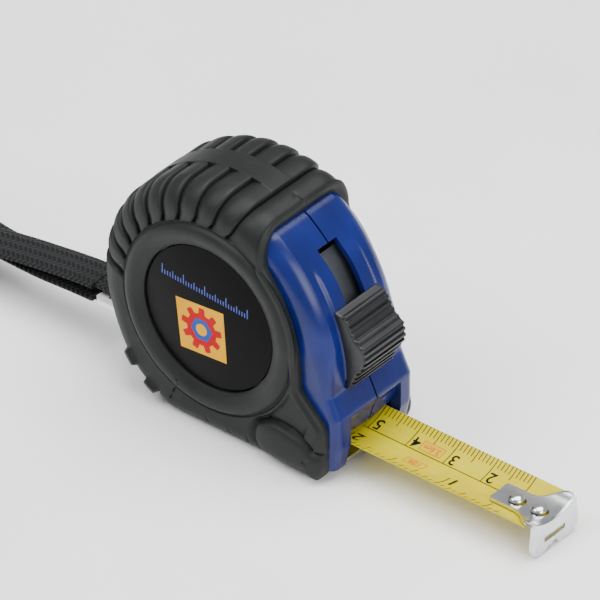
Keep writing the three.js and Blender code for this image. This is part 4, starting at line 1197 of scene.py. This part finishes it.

# %% [markdown]
# Behind the mouth the blade flattens and climbs to the coil. That stretch is one piece.
# Each row of the table is x, the share of the hollow and the climb.

# %% Blade tail
BLADE_REST = 6
tail_lead = np.array([
    [BLADE_FROM + 0.5, 1, -0.3], [BLADE_FROM - 1, 1, -0.3], [9, 1, 0], [6, 0.8, 0.5], [3, 0.4, 1.9],
    [0, 0.1, 3.4],
])


def tail_mesh():
    """The hollow's radius is divided by its share, so the strip keeps its width."""
    x = np.linspace(tail_lead[0, 0], 0, 30)
    bow_part, climb = (np.interp(-x, -tail_lead[:, 0], tail_lead[:, k]) for k in (1, 2))
    across = np.linspace(-BLADE_HALF, BLADE_HALF, 17)
    angle = across[None, :] / BOW_R * bow_part[:, None]
    radius = (BOW_R / bow_part)[:, None]
    y = radius * np.sin(angle)
    z = BLADE_REST + climb[:, None] + radius * (1 - np.cos(angle))
    top = np.stack([np.broadcast_to(x[:, None], y.shape), y, z], axis=-1)
    index = np.arange(y.size).reshape(y.shape)
    piece = make_mesh("blade_tail", top, index_quads(index))
    modifier(piece, "SOLIDIFY", thickness=BLADE_THICK * MM, offset=-1.0)
    apply_modifiers(piece)
    face_outwards(piece)
    report(piece)
    return piece


tail = tail_mesh()
smooth(tail, 40)

# %% [markdown]
# ## The end hook
# A pressed steel tongue follows the blade's hollow, widens towards the end and turns down
# into a plate with a nail slot. The plate slides by its own thickness on two rivets, so
# that inside and outside measures agree.

# %% Hook
PLATE_THICK = 0.9


def bevel(piece, width, segments, angle, soft):
    """Rounds edges sharper than an angle, and shades the piece."""
    modifier(
        piece, "BEVEL", width=width * MM, segments=segments, limit_method="ANGLE",
        angle_limit=math.radians(angle), use_clamp_overlap=True,
    )
    apply_modifiers(piece)
    smooth(piece, soft)


def hook_sheet():
    """The tongue's half width is 3.3 mm, rounded at its end by a quarter circle, and grows
    along x to the blade's full width."""
    long, corner = 14.3, 0.9
    rounded = HOOK_FACE - long + corner * (1 - np.cos(np.linspace(0, math.pi / 2, 7)))
    x = np.concatenate([rounded, np.linspace(HOOK_FACE - 13.2, HOOK_FACE + 0.45, 50)])
    quarter = np.sin(np.arccos(np.clip(1 - (x - HOOK_FACE + long) / corner, 0, 1)))
    half = np.where(x < HOOK_FACE - 13.4, 2.4 + corner * quarter, 3.3)
    half = half + 4.6 * ease(x, HOOK_FACE - 8.6, HOOK_FACE - 0.8) ** 1.6
    t = np.linspace(-1, 1, 25)
    return bow_sheet("end_hook_tongue", x[:, None] + 0 * t, half[:, None] * t[None, :] * 1.03, 0.3, 0.7)


tongue = hook_sheet()
rivet_x = [HOOK_FACE - 9.3, HOOK_FACE - 3.4]
slots = []
for x in rivet_x:
    outline = np.vstack([bow(x, 0, 1.4, 90, 270, 16), bow(x + PLATE_THICK, 0, 1.4, -90, 90, 16)])
    slots.append(prism("slot", outline, 2, 0, 12))
carve(tongue, slots)
bevel(tongue, 0.16, 2, 50, 45)


def plate_outline():
    """Curved top edge along the hollow, cut corners and a notch at the bottom."""
    half, low = 7.78, 0.15
    top = on_bow(0, np.linspace(half * 1.03, -half * 1.03, 25), 1.0)[:, 1:]
    return np.vstack([
        [[-half, low + 2.6], [-half + 0.5, low + 1.2], [-half + 1.8, low]],
        [[-1.1, low], [-0.7, low + 1.3], [0.7, low + 1.3], [1.1, low]],
        [[half - 1.8, low], [half - 0.5, low + 1.2], [half, low + 2.6]], top,
    ])


nail_slot = [[-3.5, 2.75], [3.5, 2.75], [3.5, 3.95], [-3.5, 3.95]]
plate = prism("end_hook_plate", plate_outline(), 0, HOOK_FACE, HOOK_FACE + PLATE_THICK)
carve(plate, [prism("nail", nail_slot, 0, HOOK_FACE - 1, HOOK_FACE + 3)])
bevel(plate, 0.28, 3, 40, 50)

# %% [markdown]
# The rivets are turned pieces: a profile of radius and height, carried round an axis. The
# same function turns the label discs, about an axis that lies along Y.

# %% Rivets
def turned(name, radius, height, centre, axis, count, soft):
    """A profile carried once round an axis, 1 for Y and 2 for Z, through centre. A point is
    centre + radius times (cosine, sine) across the axis, plus height along it."""
    turn = np.linspace(0, 2 * math.pi, count, endpoint=False)
    grid = np.zeros((len(radius), count, 3))
    grid[..., 0] = centre[0] + radius[:, None] * np.cos(turn)
    grid[..., 3 - axis] = centre[3 - axis] + radius[:, None] * np.sin(turn)
    grid[..., axis] = height[:, None]
    piece = make_mesh(name, grid, quads(len(radius), count, wrap=True))
    face_outwards(piece)
    smooth(piece, soft)
    report(piece)
    return piece


def rivet_mesh(name, x):
    """A low domed head, a stem, and a flatter head under the blade."""
    top, under = 7.3, 5.5
    radius = np.array([0.001, 0.7, 1.3, 1.7, 1.8, 1.7, 1.1, 1.1, 1.5, 1.6, 1.5, 0.8, 0.001])
    height = np.concatenate([
        top + np.array([0.95, 0.9, 0.7, 0.35, 0.05, 0, 0]), under - np.array([0, 0, 0.15, 0.5, 0.6, 0.6]),
    ])
    return turned(name, radius, height, [x, 0, 0], 2, 32, 50)


rivets = [rivet_mesh("rivet_rear_round", rivet_x[0]), rivet_mesh("rivet_front_round", rivet_x[1])]

# %% [markdown]
# ## The label
# A glossy black disc with a yellow square, on it a red cog and a blue nut, and a row of
# short ruler marks above. They are thin printed layers just over the disc.

# %% Label
def disc(name, radius, y_face, thick):
    """A turned disc with a softened rim, its face at y_face and its thickness inwards."""
    reach = np.array([0.001, radius - 0.35, radius - 0.1, radius, radius, 0.001])
    depth = np.array([0, 0, 0.08, 0.3, thick, thick])
    return turned(name, reach, y_face - np.sign(y_face) * depth, [0, 0, AXLE], 1, 128, 40)


right_label = disc("right_label_disc", LABEL_R, -LABEL_Y, 0.9)


def printed(name, outlines, layer):
    """Flat shapes on the right label, a hair above it; each outline is x, z from the axle."""
    y = -LABEL_Y - 0.02 * layer
    points, faces, base = [], [], 0
    for outline in outlines:
        flat = np.asarray(outline, float)
        points.append(np.column_stack([flat[:, 0], np.full(len(flat), y), flat[:, 1] + AXLE]))
        faces.append([base + k for k in range(len(flat))])
        base += len(flat)
    return make_mesh(name, np.vstack(points), faces)


square = [[-9.0, 1.7], [-7.6, -10.5], [4.8, -9.6], [3.9, 2.8]]
middle = np.mean(square, axis=0)
cog_turn = np.radians(np.arange(0, 360, 1.5))
cog_wave = np.clip(np.sin(cog_turn * 9) * 3, -1, 1)
cog_r = 4.7 + 0.75 * cog_wave
cog = np.column_stack([middle[0] + cog_r * np.cos(cog_turn), middle[1] + cog_r * np.sin(cog_turn)])
nut = bow(middle[0], middle[1], 2.9, 5, 305, 6)
bore = bow(middle[0], middle[1], 1.45, 0, 352, 45)
yellow_patch = printed("label_yellow_square", [square], 1)
red_cog = printed("label_red_cog", [cog], 2)
blue_nut = printed("label_blue_nut", [nut], 3)
yellow_bore = printed("label_yellow_bore", [bore], 4)
ticks = []
row_a, row_b = np.array([-12.6, 7.0]), np.array([10.4, 5.4])
for k in range(33):
    foot = row_a + (row_b - row_a) * k / 32
    high = reach_of(k, [(8, 2.4), (4, 1.8)], 1.15) - 1.0
    corners = [[-0.14, -1.0], [0.14, -1.0], [0.14, high], [-0.14, high]]
    ticks.append([foot + corner for corner in corners])
blue_ticks = printed("label_blue_ticks", ticks, 1)
print("label", len(ticks), "ticks, cog of", len(cog), "points")

# %% [markdown]
# ## Finishes
# Every finish is named for its real material. Colours vary a little, roughness varies a
# little, and a fine relief comes from the way each surface was made. A moulded plastic
# shows the grain of its mould, and its gloss drifts where hands have rubbed it.

# %% Plastics and rubber
def moulded(name, shades, rough, grain_mm, grain_depth, wear=0.05, **more):
    """A moulded surface: cloudy colour a shade either side, roughness that drifts, and the
    grain of the mould. The shades are the colour, the darker and the lighter one."""
    material, tree, surface = new_material(name, **more)
    colour, darker, lighter = [linear(shade) for shade in shades.split()]
    tint = ramp(tree, noise(tree, 9.0, 4), [(0.3, darker), (0.5, colour), (0.7, lighter)])
    tree.links.new(tint, surface.inputs["Base Color"])
    smear = noise(tree, 3.0, 5)
    tree.links.new(level(tree, smear, rough - wear, rough + wear), surface.inputs["Roughness"])
    bump(tree, surface, noise(tree, grain_mm, 2), 0.5, grain_depth)
    return material


# Soft rubber: nearly black and dull, so that its lugs show by broad, weak highlights.
rubber = moulded(
    "moulded_thermoplastic_rubber", "191c1b 151817 1e2120", 0.5, 0.35, 0.03, 0.06,
    IOR=1.52, Specular_IOR_Level=0.2,
)
# Polished case plastic: a deep blue with a clear reflection, slightly rippled by cooling.
abs_blue = moulded(
    "glossy_blue_abs", "0e1a58 0c174f 101e62", 0.25, 2.2, 0.02, IOR=1.5, Specular_IOR_Level=0.3,
)
# Nylon for the button and the small parts: black, half matt, so the ribs stay readable.
black_plastic = moulded(
    "moulded_black_nylon", "131416 101113 191b1d", 0.4, 0.3, 0.02, 0.06,
    IOR=1.53, Specular_IOR_Level=0.4,
)
# Acetal for the sliding strip: greyer and smoother than what is round it, as waxy plastics are.
strip_plastic = moulded("dark_grey_acetal", "3a3d42 33363a 44474c", 0.34, 0.4, 0.02, IOR=1.48)
# Unpolished case plastic for the reel: plain grey, matt.
reel_plastic = moulded("grey_reel_abs", "56595e 4d5054 606368", 0.45, 0.5, 0.02)
# Polythene for the slip discs: pale, milky and nearly without relief.
slip_film = moulded("milky_polythene_film", "b9bcc0 aeb1b5 c6c9cc", 0.4, 0.6, 0.01, 0.06)
# The label's film: black with a weak, even sheen that leaves the printed colours clean.
label_film = moulded(
    "black_gloss_film", "030303 020202 050505", 0.3, 1.5, 0.005, 0.04,
    IOR=1.4, Specular_IOR_Level=0.09,
)


def ink(name, shades):
    """Printing ink: strong flat colour, a weak sheen and hardly any relief."""
    return moulded(name, shades, 0.32, 0.8, 0.004, 0.04, Specular_IOR_Level=0.1)


yellow_ink = ink("yellow_print_ink", "e0a200 d89a00 e6aa04")
red_ink = ink("red_print_ink", "b4000c aa000a bc0410")
blue_ink = ink("blue_print_ink", "274f9e 224692 2f5aa8")
tick_ink = ink("pale_blue_print_ink", "4a58a4 43509a 5664b0")
black_ink = ink("black_print_ink", "15150f 10100c 1e1e16")
orange_ink = ink("orange_print_ink", "d9601c cf5816 e36a26")
print("materials", len(bpy.data.materials))

# %% [markdown]
# Metals are told apart by how they were worked: a drawn strip has scratches along its
# length, a plated pressing has them in every direction. A noise stretched along one axis
# gives both the changing gloss and the relief. The blade's lacquer uses the same idea with
# a clear yellow colour.

# %% Metals and lacquer
def drawn_lines(tree, stretch, size_mm, detail):
    """A noise stretched along the axes whose scale is small."""
    place = node(tree, "TexCoord").outputs["Object"]
    drawn = node(tree, "Mapping", {"vector_type": "POINT"}, Vector=place, Scale=stretch)
    scale = 1 / (size_mm * MM)
    return node(tree, "TexNoise", Vector=drawn.outputs["Vector"], Scale=scale, Detail=detail).outputs["Fac"]


def metal(name, colour, darker, rough, stretch, scratch_mm, depth):
    """Worked metal: fine scratches along one axis change its roughness and relief."""
    material, tree, surface = new_material(name, Metallic=1.0)
    lines = drawn_lines(tree, stretch, scratch_mm, 3.0)
    tree.links.new(level(tree, lines, rough - 0.05, rough + 0.05), surface.inputs["Roughness"])
    tint = ramp(tree, noise(tree, 4.0, 3), [(0.3, linear(darker)), (0.65, linear(colour))])
    tree.links.new(tint, surface.inputs["Base Color"])
    bump(tree, surface, lines, 0.35, depth)
    return material


# Nickel: bright and smooth, so the hook mirrors the floor. Zinc: greyer, for the screws.
chrome = metal("nickel_plated_steel", "dcdde0", "c8cacd", 0.17, (0.25, 1, 1), 0.4, 0.006)
zinc = metal("zinc_plated_steel", "c3c5c6", "a9acae", 0.32, (1, 1, 1), 0.5, 0.01)
# Satin steel: a broad soft sheen, for the bracket. Blued spring: darker, rolled lengthwise.
satin = metal("satin_steel", "f2f2f3", "e4e5e6", 0.5, (0.3, 1, 1), 0.4, 0.006)
spring = metal("blued_spring_steel", "8b9096", "73787e", 0.28, (1, 1, 0.2), 0.4, 0.006)


def blade_lacquer():
    """Yellow baked lacquer over steel: nearly even, with faint cloudy patches and the
    faint lines of the roller that laid it."""
    material, tree, surface = new_material("yellow_blade_lacquer", IOR=1.5, Specular_IOR_Level=0.2)
    lines = drawn_lines(tree, (0.06, 1, 1), 0.7, 2.0)
    cloud = noise(tree, 12.0, 3)
    both = node(tree, "Math", {"operation": "MULTIPLY_ADD"}, i0=lines, i1=0.35, i2=cloud)
    stops = [(0.4, linear("b8a400")), (0.68, linear("c4b400")), (0.95, linear("d0c200"))]
    tree.links.new(ramp(tree, both.outputs[0], stops), surface.inputs["Base Color"])
    tree.links.new(level(tree, lines, 0.3, 0.42), surface.inputs["Roughness"])
    bump(tree, surface, lines, 0.3, 0.01)
    return material


lacquer = blade_lacquer()
print("materials", len(bpy.data.materials))

# %% [markdown]
# Each piece now joins the body it moves with, takes its material, and stands
# in for the CAD node it was made from. The blade's tail takes its material and stands in for its node, but
# joins no body.

# %% Give each piece its finish
finish_piece(right_cover, "case", "rubber_grip", rubber, "right_grip")
finish_piece(left_cover, "case", "rubber_grip", rubber, "left_grip")
finish_piece(right_shell, "case", "blue_shell", abs_blue, "right_shell")
finish_piece(left_shell, "case", "blue_shell", abs_blue, "left_shell")
finish_piece(button, "lock", "black_plastic", black_plastic, "lock_button")
finish_piece(stem, "lock", "black_plastic", black_plastic)
finish_piece(strip, "lock", "black_plastic", strip_plastic, "lock_strip")
finish_piece(blade, "blade", "blade_paint", lacquer, "tape_blade")
finish_piece(black_print, "blade", "blade_paint", black_ink)
finish_piece(orange_print, "blade", "blade_paint", orange_ink)
tail.data.materials.append(lacquer)
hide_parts("tape_tail")
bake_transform(tail)
finish_piece(tongue, "hook", "bright_steel", chrome, "end_hook")
finish_piece(plate, "hook", "bright_steel", chrome)
for piece, name in zip(rivets, ("rivet_rear", "rivet_front")):
    finish_piece(piece, "blade", "bright_steel", chrome, name)
finish_piece(right_label, "case", "label_plate", label_film, "right_label")
finish_piece(yellow_patch, "case", "label_plate", yellow_ink)
finish_piece(red_cog, "case", "label_plate", red_ink)
finish_piece(blue_nut, "case", "label_plate", blue_ink)
finish_piece(yellow_bore, "case", "label_plate", yellow_ink)
finish_piece(blue_ticks, "case", "label_plate", tick_ink)

# %% [markdown]
# The rest of the model is true in its shape already: screws, clip, bracket, and everything
# inside the case. Those solids stay as they are and only take a finish.

# %% Finishes for the model's own pieces
KEPT = {
    "left_label": label_film, "spindle": black_plastic,
    "reel_drum": reel_plastic, "drum_cover": reel_plastic,
    "power_spring": spring, "tape_coil": lacquer, "mouth_plate": zinc,
    "case_screw_top": zinc, "case_screw_rear": zinc,
    "case_screw_rear_low": zinc, "case_screw_front": zinc,
    "belt_clip": chrome, "clip_screw": zinc, "lanyard_bracket": satin,
    "left_slip_disc": slip_film, "right_slip_disc": slip_film,
}
for name, material in KEPT.items():
    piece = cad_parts[name]
    for entry in piece.material_slots:
        entry.link = "DATA"
        entry.material = material
print("kept nodes", len(KEPT))

# %% [markdown]
# ## Floor and light
# A pale floor and three large soft lights: one high on the left of the camera, a broad one
# over the object, and a weak one from the right for the highlights on the metal.

# %% Stage
def panel_light(name, place_mm, aim_mm, size_mm, watts):
    """A white rectangular light at a place, turned towards the point it is aimed at."""
    data = bpy.data.lights.new(name, "AREA")
    data.shape, data.size, data.size_y = "RECTANGLE", size_mm[0] * MM, size_mm[1] * MM
    data.energy = watts
    lamp = bpy.data.objects.new(name, data)
    bpy.context.scene.collection.objects.link(lamp)
    away = Vector(place_mm) - Vector(aim_mm)
    turn = away.to_track_quat("Z", "Y").to_matrix().to_4x4()
    lamp.matrix_world = Matrix.Translation(Vector(place_mm) * MM) @ turn


WIDE, DOWN = 3000, -0.05
floor_corners = [[-WIDE, -WIDE, DOWN], [WIDE, -WIDE, DOWN], [WIDE, WIDE, DOWN], [-WIDE, WIDE, DOWN]]
floor = make_mesh("floor", floor_corners, [[0, 1, 2, 3]])
paper, paper_tree, paper_surface = new_material("pale_paper", Roughness=0.85)
paper_tint = ramp(paper_tree, noise(paper_tree, 60, 2), [(0.3, linear("f4f4f4")), (0.7, linear("fbfbfb"))])
paper_tree.links.new(paper_tint, paper_surface.inputs["Base Color"])
floor.data.materials.append(paper)
world = bpy.data.worlds.new("studio")
world.use_nodes = True
world.node_tree.nodes["Background"].inputs["Color"].default_value = (1, 1, 1, 1)
world.node_tree.nodes["Background"].inputs["Strength"].default_value = 0.5
bpy.context.scene.world = world
panel_light("key", (-260, -360, 640), (0, 0, 20), (380, 380), 3.6)
panel_light("top", (80, 120, 720), (0, 0, 20), (640, 640), 9)
panel_light("rim", (520, -120, 300), (20, 0, 20), (300, 300), 2)
print("lights", len(bpy.data.lights))
